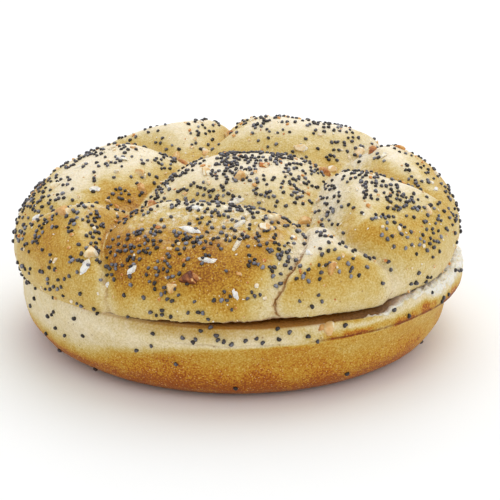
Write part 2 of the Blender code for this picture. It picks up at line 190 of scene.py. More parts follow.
# For each lobe: its rise over the plain dome in mm; browning at its foot and on its face, and the rise where
# the face is full; slopes where its cream top, partly a painted sheen, starts and is full; how thickly the
# seeds lie; how floury it is, which also sets its painted highlight
LOBE_TRAITS = {
    "middle": (-2.3, 0.35, 0.33, 0.30, 0.76, 0.99, 1.12, 0.6),
    "front": (-0.4, 0.50, 0.84, 0.36, 0.84, 1.04, 0.88, 1.5),
    "right": (2.1, 0.36, 0.64, 0.50, 0.70, 1.00, 0.72, 0.8),
    "back": (0.4, 0.38, 0.42, 0.40, 0.78, 0.99, 0.42, 0.3),
    "left": (-0.9, 0.34, 0.50, 0.40, 0.80, 0.96, 0.40, 0.5),
    "front_right": (0.3, 0.36, 0.64, 0.36, 0.72, 0.95, 0.42, 1.0),
    "back_right": (0.3, 0.36, 0.56, 0.40, 0.80, 1.01, 0.34, 0.3),
    "back_left": (0.3, 0.38, 0.42, 0.40, 0.76, 0.98, 0.26, 0.3),
    "front_left": (1.1, 0.48, 0.58, 0.34, 0.86, 1.06, 1.0, 1.0),
}
SWELL, *BAKING_AND_SHEEN, SEEDS, FLOUR_AND_HIGHLIGHT = zip(*LOBE_TRAITS.values())

# Patches darker or paler, mostly baked colour: lobe, turn and rise of the middle, reaches in turn and rise,
# and the change. The pale one on the right lobe's left slope is a painted highlight, and the dark one on the
# left lobe is baked colour with painted valley shade
PATCHES = (
    ("front", -31, 0.36, 24, 0.24, 0.15),
    ("left", -66, 0.78, 30, 0.20, 0.33),
    ("front_left", -84, 0.40, 26, 0.60, -0.16),
    ("front_left", -55, 0.35, 18, 0.20, 0.16),
    ("middle", 30, 0.86, 44, 0.10, 0.14),
    ("right", 46, 0.56, 18, 0.14, 0.05),
    ("right", 42, 0.71, 16, 0.14, -0.36),
)
# Fine cracks along the creases: how open, and the highest rise
CRACKS = ((0.30, 0.55), (1.0, 0.66), (0.25, 0.5), (0.35, 0.5))
# Shade in the creases' inner parts, and in the pits where two creases cross
VALLEY = 0.12
PIT_SHADE = 0.34
PIT_RADIUS = 4.0 * MM

# Browning of the lobes' cream tops, which are partly a painted sheen, and of the pale skin beside the creases
CREAM_TOP_AND_SHEEN = 0.12
CREAM_CREASE = 0.20
# Pale skin beside the creases: crease, strength, reach in mm to the middle and away, lowest and highest rise
PALE_SIDES = (
    (0, 0.70, 2.0, 4.5, -1.0, 1.0),
    (1, 0.90, 6.5, 1.6, -1.0, 0.80),
    # This row is partly pale skin and partly a painted highlight on the lit crest and left slope beyond the
    # crease
    (1, 1.35, 0.8, 12.0, 0.38, 1.0),
    (2, 0.30, 3.0, 2.0, -1.0, 1.0),
    (3, 0.70, 2.8, 3.0, -1.0, 0.5),
)

# Layers of soft noise: amount, length in mm and seed
CROWN_WRINKLES = ((0.10, 4.5, 1), (0.06, 2.0, 2), (0.035, 0.9, 3))
CRACK_WANDER = ((0.45, 2.0, 5), (0.30, 0.8, 4))
LIP_TEARS = ((0.22, 1.4, 8), (0.26, 0.6, 9))
LIP_TUFTS = ((0.24, 1.7, 10), (0.36, 0.65, 11))
SEED_CLUMPS = ((0.7, 8.0, 40), (1.1, 2.6, 41))
HEEL_WRINKLES = ((0.10, 5.0, 21), (0.05, 1.8, 22))
TORN_EDGE = ((0.55, 3.5, 20), (0.45, 1.1, 19))
TORN_TUFTS = ((0.55, 1.6, 24), (0.50, 0.75, 25))
TIN_EDGE_WANDER = ((0.22, 9.0, 30), (0.20, 2.5, 31))

# Fine meshes: cells across the crown and round the heel, steps between the stations of the heel's profile,
# and in mm the radii of the rings in its foot, the insets of those in its cut, and inset and height of the
# rings in the crown's cut
CROWN_CELLS = 288
HEEL_COLUMNS = 900
HEEL_STEPS = (6, 6, 6, 6, 5, 5, 3, 7, 8, 8, 14)
HEEL_FOOT_RINGS = (18.0, 30.0, 36.0)
HEEL_CUT_RINGS = (2.0, 6.0, 14.0, 28.0)
CROWN_CUT_RINGS = ((0.5, 0.02), (1.2, 0.12), (3.0, 0.25), (7.0, 0.3), (15.0, 0.3), (30.0, 0.3))

# Small pieces: usual sizes in mm, spacing, and counts
POPPY_SIZE = (1.0, 0.87, 0.78)
POPPY_SPACING = 0.74 * MM
HEEL_POPPY_SPACING = 0.9 * MM
POPPY_COUNT = 1700
HEEL_POPPY_COUNT = 130
BIT_SIZE = (1.3, 0.95, 0.7)
BIT_SPACING = 2.0 * MM
BIT_COUNT = 190
SPECK_SIZE = (0.5, 0.4, 0.3)
SPECK_SPACING = 1.0 * MM
SPECK_COUNT = 520

# For each kind of chip: its scale, its greatest thickness as a share of the usual one, and the smaller shards
# stuck to it, as shares of its size, before or after it
CHIP_KINDS = {
    "groat": (0.95, 1.0, (0.62,)),
    "flake": (0.82, 0.6, (0.7, -0.55)),
    "crumb": (0.95, 1.0, (0.6,)),
}

# Colours from pale to dark: position, red, green and blue
CRUST_STOPS = (
    (0.0, 239, 229, 207),
    (0.15, 231, 216, 182),
    (0.30, 220, 201, 150),
    (0.45, 209, 182, 108),
    (0.60, 200, 162, 72),
    (0.75, 189, 141, 38),
    (0.90, 170, 114, 20),
    (1.0, 144, 86, 14),
)
TIN_STOPS = CRUST_STOPS[:5] + ((0.75, 192, 143, 42), (0.90, 184, 114, 26), (1.0, 156, 80, 20))
CROWN_CRUMB_STOPS = ((0.3, 200, 170, 112), (0.7, 232, 214, 172))
HEEL_CRUMB_STOPS = ((0.32, 230, 214, 172), (0.45, 250, 243, 222), (0.60, 255, 253, 246))
POPPY_STOPS = ((0.0, 18, 10, 8), (0.35, 40, 32, 32), (0.65, 78, 74, 80), (1.0, 142, 144, 156))
GROAT_STOPS = ((0.0, 244, 232, 204), (0.3, 232, 204, 152), (0.55, 216, 164, 92), (0.8, 170, 100, 44),
               (1.0, 96, 42, 20))
FLAKE_STOPS = ((0.0, 248, 244, 234), (0.5, 236, 222, 194), (1.0, 200, 150, 92))
CRUMB_STOPS = ((0.0, 244, 236, 218), (0.35, 230, 200, 150), (0.6, 214, 152, 72), (0.8, 190, 106, 48),
               (1.0, 130, 62, 34))

# Lights: name, place, width and power
LIGHTS = (
    ("overhead", (0.12, 0.22, 0.72), 0.6, 1.6),
    ("behind", (0.0, 0.95, 0.55), 0.9, 2.3),
    ("front_fill", (0.50, -0.60, 0.55), 0.5, 0.9),
)
SURROUND_LIGHT = 0.82
FLOOR_COLOUR = (0.925, 0.935, 0.94, 1.0)
FLOOR_REACH = 3.0
FLOOR_DROP = 0.05 * MM


def ease(value, low, high):
    """0 at low, 1 at high and beyond it, and a smooth change between them."""
    share = np.clip((value - low) / (high - low), 0.0, 1.0)
    return share * share * (3.0 - 2.0 * share)


def on_plan(turn, radius):
    """(x, y) of a turn in degrees and a radius."""
    angle = np.radians(turn)
    return np.stack([radius * np.sin(angle), -radius * np.cos(angle)], axis=-1)


def raised(plan, height):
    """Points with the given plan positions and heights."""
    return np.column_stack([plan, height])


def unit(vectors):
    """Vectors at length one."""
    return vectors / np.linalg.norm(vectors, axis=1)[:, None]


def bell(value, width):
    """1 at zero, falling off over the width on both sides of it."""
    return np.exp(-((value / width) ** 2))


def turn_hump(turn, centre, spread):
    """1 at the turn called centre and 0 from spread degrees away, smooth between them."""
    away = np.abs((turn - centre + 180.0) % 360.0 - 180.0)
    return 1.0 - ease(away, 0.0, spread)


def by_turn(turn, table):
    """Values at the turns, between the rows of a table of turn and value."""
    return np.interp((turn + 180.0) % 360.0 - 180.0, *zip(*table))


def lumps(points, length, offset):
    """Soft noise from -1 to 1 with humps about length wide, at each point."""
    return np.array([noise.noise(Vector(p) / length + Vector((offset, 0.0, 0.0))) for p in points])


def grain(points, length, seed):
    """Quick soft noise from -1 to 1, by values on a lattice with cells of the given length."""
    cell = points / length + 31.7 * seed
    base = np.floor(cell).astype(np.int64)
    share = ease(cell - base, 0.0, 1.0)
    total = np.zeros(len(points))
    for corner in itertools.product((0, 1), repeat=3):
        key = base + np.array(corner)
        code = (key[:, 0] * 73856093) ^ (key[:, 1] * 19349663) ^ (key[:, 2] * 83492791) ^ (seed * 668265263)
        code = (code ^ (code >> 13)) * 1274126177
        value = ((code >> 7) & 0xFFFF) / 32767.5 - 1.0
        total += value * np.prod(np.where(corner, share, 1.0 - share), axis=1)
    return total


def grains(points, rows, start=0.0):
    """A start value plus layers of soft noise."""
    return sum((amount * grain(points, length * MM, seed) for amount, length, seed in rows), start)


def bowed_middle(start, end, bow):
    """The middle of a run, moved bow millimetres to the left of its direction."""
    along = (end - start) / np.linalg.norm(end - start)
    return (start + end) / 2 + np.array([-along[1], along[0]]) * bow * MM


def curve_point(knots, t):
    """The point at share t between the middle two of four knots, on a smooth curve."""
    a, b, c, d = knots
    bend = (2 * a - 5 * b + 4 * c - d) * t**2 + (3 * b - a - 3 * c + d) * t**3
    return 0.5 * (2 * b + (c - a) * t + bend)


def crease_line(ends, bows, corners):
    """One crease in plan: a smooth curve from the crown's edge through two corners to the edge."""
    start, end = (on_plan(turn, CROWN_RADIUS * CREASE_OVERRUN) for turn in ends)
    first, second = (on_plan(*CORNERS[c]) for c in corners)
    middles = bowed_middle(start, first, bows[0]), bowed_middle(second, end, bows[1])
    knots = [start, middles[0], first, second, middles[1], end]
    knots = [2 * knots[0] - knots[1]] + knots + [2 * knots[-1] - knots[-2]]
    runs = zip(knots, knots[1:], knots[2:], knots[3:])
    line = [curve_point(run, t) for run in runs for t in np.arange(CREASE_STEPS) / CREASE_STEPS]
    return np.array(line + [end])


CREASES = [crease_line(*parts) for parts in zip(CREASE_ENDS, CREASE_BOWS, CREASE_CORNERS)]


def signed_distance(plan, line):
    """Distance of each plan point from a crease, positive on the side away from the crown's middle."""
    best = np.full(len(plan), np.inf)
    side = np.zeros(len(plan))
    for a, b in zip(line, line[1:]):
        along = b - a
        share = np.clip(((plan - a) @ along) / (along @ along), 0.0, 1.0)
        gap = plan - (a + share[:, None] * along)
        away = np.hypot(gap[:, 0], gap[:, 1])
        nearer = away < best
        best[nearer] = away[nearer]
        side[nearer] = (along[1] * gap[:, 0] - along[0] * gap[:, 1])[nearer]
    return best * np.sign(side)


def crease_distances(plan):
    """Signed distance of each plan point from each of the four creases."""
    return np.array([signed_distance(plan, line) for line in CREASES])


def lobe_table(away, row):
    """Values of a row with one for each lobe, at points with the given distances from the creases."""
    outside = [gap > 0 for gap in away]
    count = sum(side.astype(int) for side in outside)
    values = np.full(len(count), float(row[0]))
    for side in range(4):
        corner = outside[side] & outside[(side + 1) % 4]
        values = np.where((count == 1) & outside[side], row[1 + side], values)
        values = np.where((count == 2) & corner, row[5 + side], values)
    return values


def corner_shares(plan, radius):
    """For each crossing of two creases, 1 at it, falling off over the radius."""
    gaps = (plan - on_plan(*corner) for corner in CORNERS)
    return [np.exp(-(gap[:, 0] ** 2 + gap[:, 1] ** 2) / radius**2) for gap in gaps]


def crease_fall(plan, low, away):
    """How far the skin lies below the plain dome. low is 1 at the lip and 0 above the side."""
    radius = np.hypot(plan[:, 0], plan[:, 1])
    outward = ease(radius, *CREASE_FADE_RADII)
    depth = CREASE_DEPTH_INNER + (CREASE_DEPTH_OUTER - CREASE_DEPTH_INNER) * outward
    width = CREASE_WIDTH_INNER + (CREASE_WIDTH_OUTER - CREASE_WIDTH_INNER) * outward
    depth = depth * (1.0 - (1.0 - LIP_CREASE_SHARE) * low)
    level = np.ones(len(plan))
    for gap in away:
        level *= 1.0 - (1.0 - np.clip(np.abs(gap) / width, 0.0, 1.0)) ** 2
    fall = depth * (1.0 - level) - lobe_table(away, SWELL) * MM * level * (1.0 - low)
    for share in corner_shares(plan, CORNER_DIP_RADIUS):
        fall += CORNER_DIP * share
    return fall


def dome(rise, turn):
    """Points and outward normals of the plain dome."""
    below = np.clip(1.0 - rise / SIDE_SHARE, 0.0, 1.0)
    angle = np.clip((rise - SIDE_SHARE) / (1.0 - SIDE_SHARE), 0.0, 1.0) * math.pi / 2
    out = np.maximum(np.cos(angle), 1e-6) ** (2.0 / DOME_POWER_OUT)
    up = np.maximum(np.sin(angle), 1e-6) ** (2.0 / DOME_POWER_UP)
    plan = on_plan(turn, CROWN_RADIUS * out - CROWN_LIP_INSET * below**2)
    height = CROWN_WIDEST_HEIGHT * (1.0 - below) + DOME_HEIGHT * up
    flat = on_plan(turn, out ** (DOME_POWER_OUT - 1.0) / CROWN_RADIUS)
    upward = up ** (DOME_POWER_UP - 1.0) / DOME_HEIGHT
    return raised(plan, height), unit(raised(flat, upward))


def crown_skin(rise, turn):
    """Points of the crown's outer skin, in the crown's own frame."""
    points, normals = dome(rise, turn)
    low = 1.0 - ease(points[:, 2], 0.0, 9.0 * MM)
    fall = crease_fall(points[:, :2], low, crease_distances(points[:, :2]))
    fall -= LUMP_HEIGHT * lumps(points, LUMP_LENGTH, 3.0) * (1.0 - 0.7 * low)
    inward = normals * fall[:, None]
    inward[:, 2] *= ease(points[:, 2], 0.0, 3.0 * MM)
    return points - inward


def heel_stations(turn):
    """(radius, height) stations of the heel's side at each turn, from the foot to the cut face."""
    flange = turn_hump(turn, FLANGE_TURN, FLANGE_SPREAD)
    smooth = turn_hump(turn, SMOOTH_SIDE_TURN, SMOOTH_SIDE_SPREAD)
    x, y = on_plan(turn, BAND_RADIUS).T
    cut = HEEL_CUT_HEIGHT + x * math.radians(HEEL_CUT_CLIMB_RIGHT) + y * math.radians(HEEL_CUT_CLIMB_BACK)
    foot = FOOT_RADIUS + SMOOTH_FOOT_SWELL * smooth - FLANGE_FOOT_INSET * flange
    stations = []
    for share in (0.0, 0.25, 0.5, 0.75, 1.0):
        angle = share * math.pi / 2
        out = FOOT_FLAT_RADIUS + (foot - FOOT_FLAT_RADIUS) * math.sin(angle)
        stations.append((out, np.full_like(turn, FOOT_ROUND_HEIGHT * (1.0 - math.cos(angle)))))
    rim = RIM_RADIUS - SMOOTH_RIM_INSET * smooth + FLANGE_RIM_REACH * flange
    under = rim - UNDER_RIM_INSET - FLANGE_UNDERCUT * flange
    under_height = RIM_HEIGHT - UNDER_RIM_DROP
    stations.append(((foot + under) / 2, np.full_like(turn, (FOOT_ROUND_HEIGHT + under_height) / 2)))
    stations.append((under, np.full_like(turn, under_height)))
    stations.append((rim, np.full_like(turn, RIM_HEIGHT)))
    side = (cut - HEEL_CUT_ROUNDING - RIM_HEIGHT) * (1.0 - FLANGE_DROP_SHARE * flange)
    band = BAND_RADIUS + FLANGE_REACH * flange
    shoulder = BAND_SHOULDER * (1.0 - smooth)
    stations.append((band - SMOOTH_RIM_INSET * smooth / 2, RIM_HEIGHT + BAND_SHARES[0] * side))
    stations.append((band - 0.3 * shoulder, RIM_HEIGHT + BAND_SHARES[1] * side))
    stations.append((band - shoulder, RIM_HEIGHT + side))
    stations.append((band - shoulder - HEEL_CUT_ROUNDING - FLANGE_BEVEL * flange, cut))
    return stations


def heel_band(rise, turn):
    """Points of the heel's pale band, between the rim line and the cut."""
    lower, upper = heel_stations(turn)[8:10]
    radius = lower[0] + (upper[0] - lower[0]) * rise
    height = lower[1] + (upper[1] - lower[1]) * rise
    return raised(on_plan(turn, radius), height)


def on_band(turn):
    """A point on the heel's band at each turn, for noise that runs round it."""
    return raised(on_plan(turn, BAND_RADIUS), np.zeros(len(turn)))


def skin_frames(skin, rise, turn):
    """Points, outward normals and area shares of a skin."""
    along = skin(rise, turn + 1.0) - skin(rise, turn - 1.0)
    up = skin(rise + 0.006, turn) - skin(rise - 0.006, turn)
    crossed = np.cross(along, up)
    area = np.linalg.norm(crossed, axis=1)
    return skin(rise, turn), crossed / area[:, None], area / area.max()


def crown_places(rng):
    """Places of each kind of chip on the crown: those with a mark, then random ones clear of the rest."""
    gaps = {kind: size[0] / 2 + TOPPING_GAP / 2 for kind, size in TOPPING_SIZES.items()}
    taken, places = [], {}
    for kind, marks in CROWN_MARKS.items():
        turn, rise = np.array(marks).T[:2]
        points, normals, _ = skin_frames(crown_skin, rise, turn)
        taken += [(point, gaps[kind]) for point in points]
        places[kind] = list(zip(points, normals))
    for kind, count in CROWN_COUNTS.items():
        pool = count * 30 + 200
        rise = TOPPING_REACH[0] + (TOPPING_REACH[1] - TOPPING_REACH[0]) * rng.random(pool)
        turn = 360.0 * rng.random(pool)
        chance = rng.random(pool)
        points, normals, area = skin_frames(crown_skin, rise, turn)
        liked = chance < area * (0.12 + 0.88 * ease(normals[:, 2], *TOPPING_FACING))
        wanted = len(places[kind]) + count
        for point, normal in zip(points[liked], normals[liked]):
            if all(np.linalg.norm(point - other) > gaps[kind] + gap for other, gap in taken):
                taken.append((point, gaps[kind]))
                places[kind].append((point, normal))
            if len(places[kind]) == wanted:
                break
    return places


# Where the crown sits, climbing a little to the right and to the back
CROWN_ROLL = Matrix.Rotation(math.radians(-CROWN_CLIMB_RIGHT), 4, "Y")
CROWN_PITCH = Matrix.Rotation(math.radians(CROWN_CLIMB_BACK), 4, "X")
CROWN_MATRIX = Matrix.Translation(CROWN_PLACE) @ CROWN_PITCH @ CROWN_ROLL
CROWN_INVERSE = CROWN_MATRIX.inverted()


def moved(points, matrix):
    """Points after a matrix."""
    full = np.array(matrix)
    return points @ full[:3, :3].T + full[:3, 3]


def vertex_normals(points, faces):
    """Unit normals at the points of a mesh of quads or triangles."""
    corners = points[faces]
    crossed = np.cross(corners[:, 2] - corners[:, 0], corners[:, -1] - corners[:, 1])
    total = np.zeros_like(points)
    for column in faces.T:
        np.add.at(total, column, crossed)
    return total / np.maximum(np.linalg.norm(total, axis=1), 1e-12)[:, None]


def mesh_object(name, points, face_sets, attributes, material):
    """A smooth object from points, arrays of faces, and named values at the points."""
    loops = np.concatenate([faces.ravel() for faces in face_sets])
    sizes = np.concatenate([np.full(len(faces), faces.shape[1]) for faces in face_sets])
    data = bpy.data.meshes.new(name)
    data.vertices.add(len(points))
    data.vertices.foreach_set("co", np.asarray(points, dtype=np.float32).ravel())
    data.loops.add(len(loops))
    data.loops.foreach_set("vertex_index", loops.astype(np.int32))
    data.polygons.add(len(sizes))
    data.polygons.foreach_set("loop_start", (np.cumsum(sizes) - sizes).astype(np.int32))
    data.update(calc_edges=True)
    data.validate()
    for key, values in attributes.items():
        layer = data.attributes.new(key, "FLOAT", "POINT")
        layer.data.foreach_set("value", np.asarray(values, dtype=np.float32))
    data.materials.append(material)
    data.shade_smooth()
    return placed(name, data)


def face_outward(item):
    """Turn every face of a closed object outwards."""
    mesh = bmesh.new()
    mesh.from_mesh(item.data)
    bmesh.ops.recalc_face_normals(mesh, faces=mesh.faces)
    mesh.to_mesh(item.data)
    mesh.free()
    return item


def crease_paleness(away, rise):
    """How pale the skin is for its distance from the creases, from 1 in them to 0 out of reach."""
    paleness = np.zeros(away.shape[1])
    for crease, most, inner, outer, lowest, highest in PALE_SIDES:
        gap = away[crease]
        reach = np.where(gap > 0, outer, inner) * MM
        strength = most * ease(rise, highest, highest - 0.2) * ease(rise, lowest, lowest + 0.15)
        paleness = np.maximum(paleness, strength * (1.0 - ease(np.abs(gap) / reach, 0.0, 1.0)))
    return np.minimum(paleness, 0.95)


def disc_grid(cells):
    """Distance from the middle, 0 to 1, and turn of the points of a square grid laid over a disc."""
    across = np.linspace(-1.0, 1.0, cells + 1)
    a, b = (part.ravel() for part in np.meshgrid(across, across))
    wide = np.abs(a) > np.abs(b)
    radius = np.where(wide, a, b)
    safe = np.where(radius == 0.0, 1.0, radius)
    angle = np.where(wide, math.pi / 4 * b / safe, math.pi / 2 - math.pi / 4 * a / safe)
    x, y = radius * np.cos(angle), radius * np.sin(angle)
    return np.hypot(x, y), np.degrees(np.arctan2(x, -y))


def grid_faces(cells):
    """Quads of a square grid of points."""
    index = np.arange((cells + 1) ** 2).reshape(cells + 1, cells + 1)
    corners = (index[:-1, :-1], index[:-1, 1:], index[1:, 1:], index[1:, :-1])
    return np.stack(corners, axis=-1).reshape(-1, 4)


def grid_rim(cells):
    """The points round the edge of a square grid, in order."""
    index = np.arange((cells + 1) ** 2).reshape(cells + 1, cells + 1)
    return np.concatenate([index[0, :-1], index[:-1, -1], index[-1, :0:-1], index[:0:-1, 0]])


def even_rise(distance):
    """The rise whose distance along the dome from the top is the given share of the whole."""
    rises = np.linspace(0.0, 1.0, 1500)
    points, _ = dome(rises, np.zeros_like(rises))
    steps = np.linalg.norm(np.diff(points, axis=0), axis=1)
    from_top = 1.0 - np.concatenate([[0.0], np.cumsum(steps)]) / steps.sum()
    return np.interp(distance, from_top[::-1], rises[::-1])


def ring_faces(first, second):
    """Quads between two rings of points with the same count."""
    return np.stack([first, np.roll(first, -1), np.roll(second, -1), second], axis=-1)


def fan_faces(ring, hub):
    """Triangles from a ring to one point."""
    return np.stack([ring, np.roll(ring, -1), np.full(len(ring), hub)], axis=-1)


class Crown:
    """The crown's fine skin: its points in world space, and what is known at each of them."""

    def __init__(self):
        distance, self.turn = disc_grid(CROWN_CELLS)
        self.rise = even_rise(distance)
        self.faces = grid_faces(CROWN_CELLS)
        skin = crown_skin(self.rise, self.turn)
        self.away = crease_distances(skin[:, :2])
        self.near = np.abs(self.away).min(axis=0)
        self.pale = crease_paleness(self.away, self.rise)
        self.gap, self.split = self.crack_lines(skin)
        skin = skin + vertex_normals(skin, self.faces) * self.relief(skin)[:, None]
        self.points = moved(self.ragged_lip(skin), CROWN_MATRIX)
        self.normals = vertex_normals(self.points, self.faces)
        self.upward = self.normals[:, 2]

    def relief(self, skin):
        """Height of the fine wrinkles, pores and crease cracks over the plain skin."""
        height = grains(skin, CROWN_WRINKLES)
        height -= 0.55 * self.split * bell(self.gap, 0.4)
        puffed = bell(self.near - 1.5 * MM, 0.8 * MM) * ease(self.rise, 0.6, 0.4)
        height += 0.10 * puffed * (0.5 + grain(skin, 1.3 * MM, 7))
        return height * MM * ease(self.rise, 0.02, 0.12)

    def crack_lines(self, skin):
        """Distance in mm from the nearest jagged crack along a crease, and how open it is, from 0 to 1."""
        nearest = np.abs(self.away).argmin(axis=0)
        gap = self.away[nearest, np.arange(len(skin))] / MM
        gap += grains(skin, CRACK_WANDER)
        most, highest = np.array(CRACKS)[nearest].T
        share = most * ease(self.rise, highest, highest - 0.15)
        return gap, share * np.clip(0.9 + 0.9 * grain(skin, 3.0 * MM, 6), 0.25, 1.0)

    def ragged_lip(self, skin):
        """The skin with its lip bent to the slit and torn a little by the cut."""
        low = 1.0 - ease(self.rise, 0.0, 0.03)
        level = by_turn(self.turn, LIP_LIFTS)
        shut = np.clip(-level / 0.7, 0.0, 1.0)
        tear = low * grains(skin, LIP_TEARS) * (1.0 - 0.7 * shut)
        tuck = LIP_TUCK * shut * (1.0 - ease(self.rise, 0.0, 0.12))
        radius = np.hypot(skin[:, 0], skin[:, 1])
        skin[:, :2] += skin[:, :2] / np.maximum(radius, 1e-6)[:, None] * ((tear - tuck) * MM)[:, None]
        lift = np.maximum(grains(skin, LIP_TUFTS, 0.12), 0.0)
        skin[:, 2] += low * lift * np.clip(1.3 - shut, 0.0, 1.0) * MM
        skin[:, 2] += level * (1.0 - ease(self.rise, 0.0, 0.24)) * MM
        return skin

    def browning_and_painted_light(self):
        """How dark the skin is, from 0 in the pale creases to 1 on the front lobe's face: its browning, with
        a painted sheen and highlight on tops and lit slopes and painted shade in the valleys and pits.
        """
        foot, face, full, steep, level = (lobe_table(self.away, row) for row in BAKING_AND_SHEEN)
        wave = 0.05 * grain(self.points, 9.0 * MM, 12)
        baked_and_painted_light = foot + (face - foot) * ease((self.rise + wave - 0.03) / full, 0.0, 1.0)
        top = ease((self.upward + 0.6 * wave - steep) / (level - steep), 0.0, 1.0)
        # Cream top on the upward slopes: partly the skin's pale top and partly a painted sheen of the light
        # from above
        baked_and_painted_light += (CREAM_TOP_AND_SHEEN - baked_and_painted_light) * top
        # Patches: baked colour, with a painted highlight on the right lobe's left slope and painted valley
        # shade on the left lobe
        for lobe, turn, rise, turn_reach, rise_reach, change in PATCHES:
            only = lobe_table(self.away, [name == lobe for name in LOBE_TRAITS])
            close = 1.0 - ease(np.abs(self.rise - rise), 0.0, rise_reach)
            baked_and_painted_light += change * only * close * turn_hump(self.turn, turn, turn_reach)
        # Pale crease skin, made nearly white high up, where it is a painted highlight on the lit crests
        crease_cream_and_highlight = CREAM_CREASE * (1.0 - 0.8 * ease(self.rise, 0.36, 0.48))
        baked_and_painted_light += (crease_cream_and_highlight - baked_and_painted_light) * self.pale
        # Painted shade in the creases' inner parts and in the pits where two creases cross
        baked_and_painted_light += VALLEY * bell(self.near, 1.7 * MM) * ease(self.rise, 0.4, 0.62)
        for share in corner_shares(moved(self.points, CROWN_INVERSE)[:, :2], PIT_RADIUS):
            baked_and_painted_light += PIT_SHADE * share
        baked_and_painted_light += (0.03 + 0.12 * baked_and_painted_light) * grain(self.points, 6.0 * MM, 13)
        return np.clip(baked_and_painted_light, 0.0, 1.0)

    def flour_and_highlight(self):
        """1 where flour clings to the crests beside the creases and where a painted highlight whitens the
        tops and lit crests, 0 elsewhere.
        """
        crest = bell(self.near - 3.0 * MM, 2.4 * MM) * ease(self.upward, 0.80, 0.97)
        sifted_and_sheen = 0.55 * ease(self.upward, 0.84, 0.96)
        settled_and_sheen = np.maximum(crest, sifted_and_sheen) * ease(self.rise, 0.4, 0.6) * lobe_table(self.away, FLOUR_AND_HIGHLIGHT)
        return np.maximum(settled_and_sheen, 0.9 * self.pale * ease(self.rise, 0.38, 0.50))

    def seeding(self):
        """How thickly the poppy seeds lie."""
        weight = lobe_table(self.away, SEEDS)
        weight *= 0.22 + 0.78 * ease(self.upward, -0.2, 0.8)
        weight *= 1.0 + 0.5 * ease(self.upward, 0.94, 0.99)
        weight *= 1.0 - 0.55 * ease(self.normals[:, 1], -0.02, 0.35)
        weight *= 1.0 + 0.5 * bell(self.near - 3.4 * MM, 1.6 * MM) * ease(self.upward, 0.75, 0.95)
        weight *= 1.0 - 0.75 * bell(self.near, 1.8 * MM)
        weight *= np.clip(grains(self.points, SEED_CLUMPS, 0.55), 0.08, 1.8)
        return weight * ease(self.rise, 0.01, 0.05)

    def build(self, material):
        """The crown's skin closed by its cut face, as one object."""
        rings = [grid_rim(CROWN_CELLS)]
        lip = moved(self.points[rings[0]], CROWN_INVERSE)
        points, count = [self.points], len(self.points)
        for inset, lift in CROWN_CUT_RINGS:
            ring = lip.copy()
            ring[:, :2] *= (1.0 - inset * MM / np.hypot(lip[:, 0], lip[:, 1]))[:, None]
            ring[:, 2] = lift * MM * (1.0 + grain(ring, 0.9 * MM, 15))
            points.append(moved(ring, CROWN_MATRIX))
            rings.append(np.arange(count, count + len(lip)))
            count += len(lip)
        points.append(moved(np.array([[0.0, 0.0, 0.3 * MM]]), CROWN_MATRIX))
        quads = np.concatenate([self.faces] + [ring_faces(a, b) for a, b in zip(rings, rings[1:])])
        known = {
            "browning_and_painted_light": (self.browning_and_painted_light(), 0.0),
            "hidden": (np.zeros(len(self.points)), 1.0),
            "gap": (self.gap, 9.0),
            "split": (self.split, 0.0),
            "flour_and_highlight": (self.flour_and_highlight(), 0.0),
            "crumb": (0.4 * np.clip(1.0 - self.rise / 0.008, 0.0, 1.0), 1.0),
        }
        extra = count + 1 - len(self.points)
        values = {key: np.append(skin, np.full(extra, cut)) for key, (skin, cut) in known.items()}
        faces = [quads, fan_faces(rings[-1], count)]
        return face_outward(mesh_object("crown_skin", np.concatenate(points), faces, values, material))


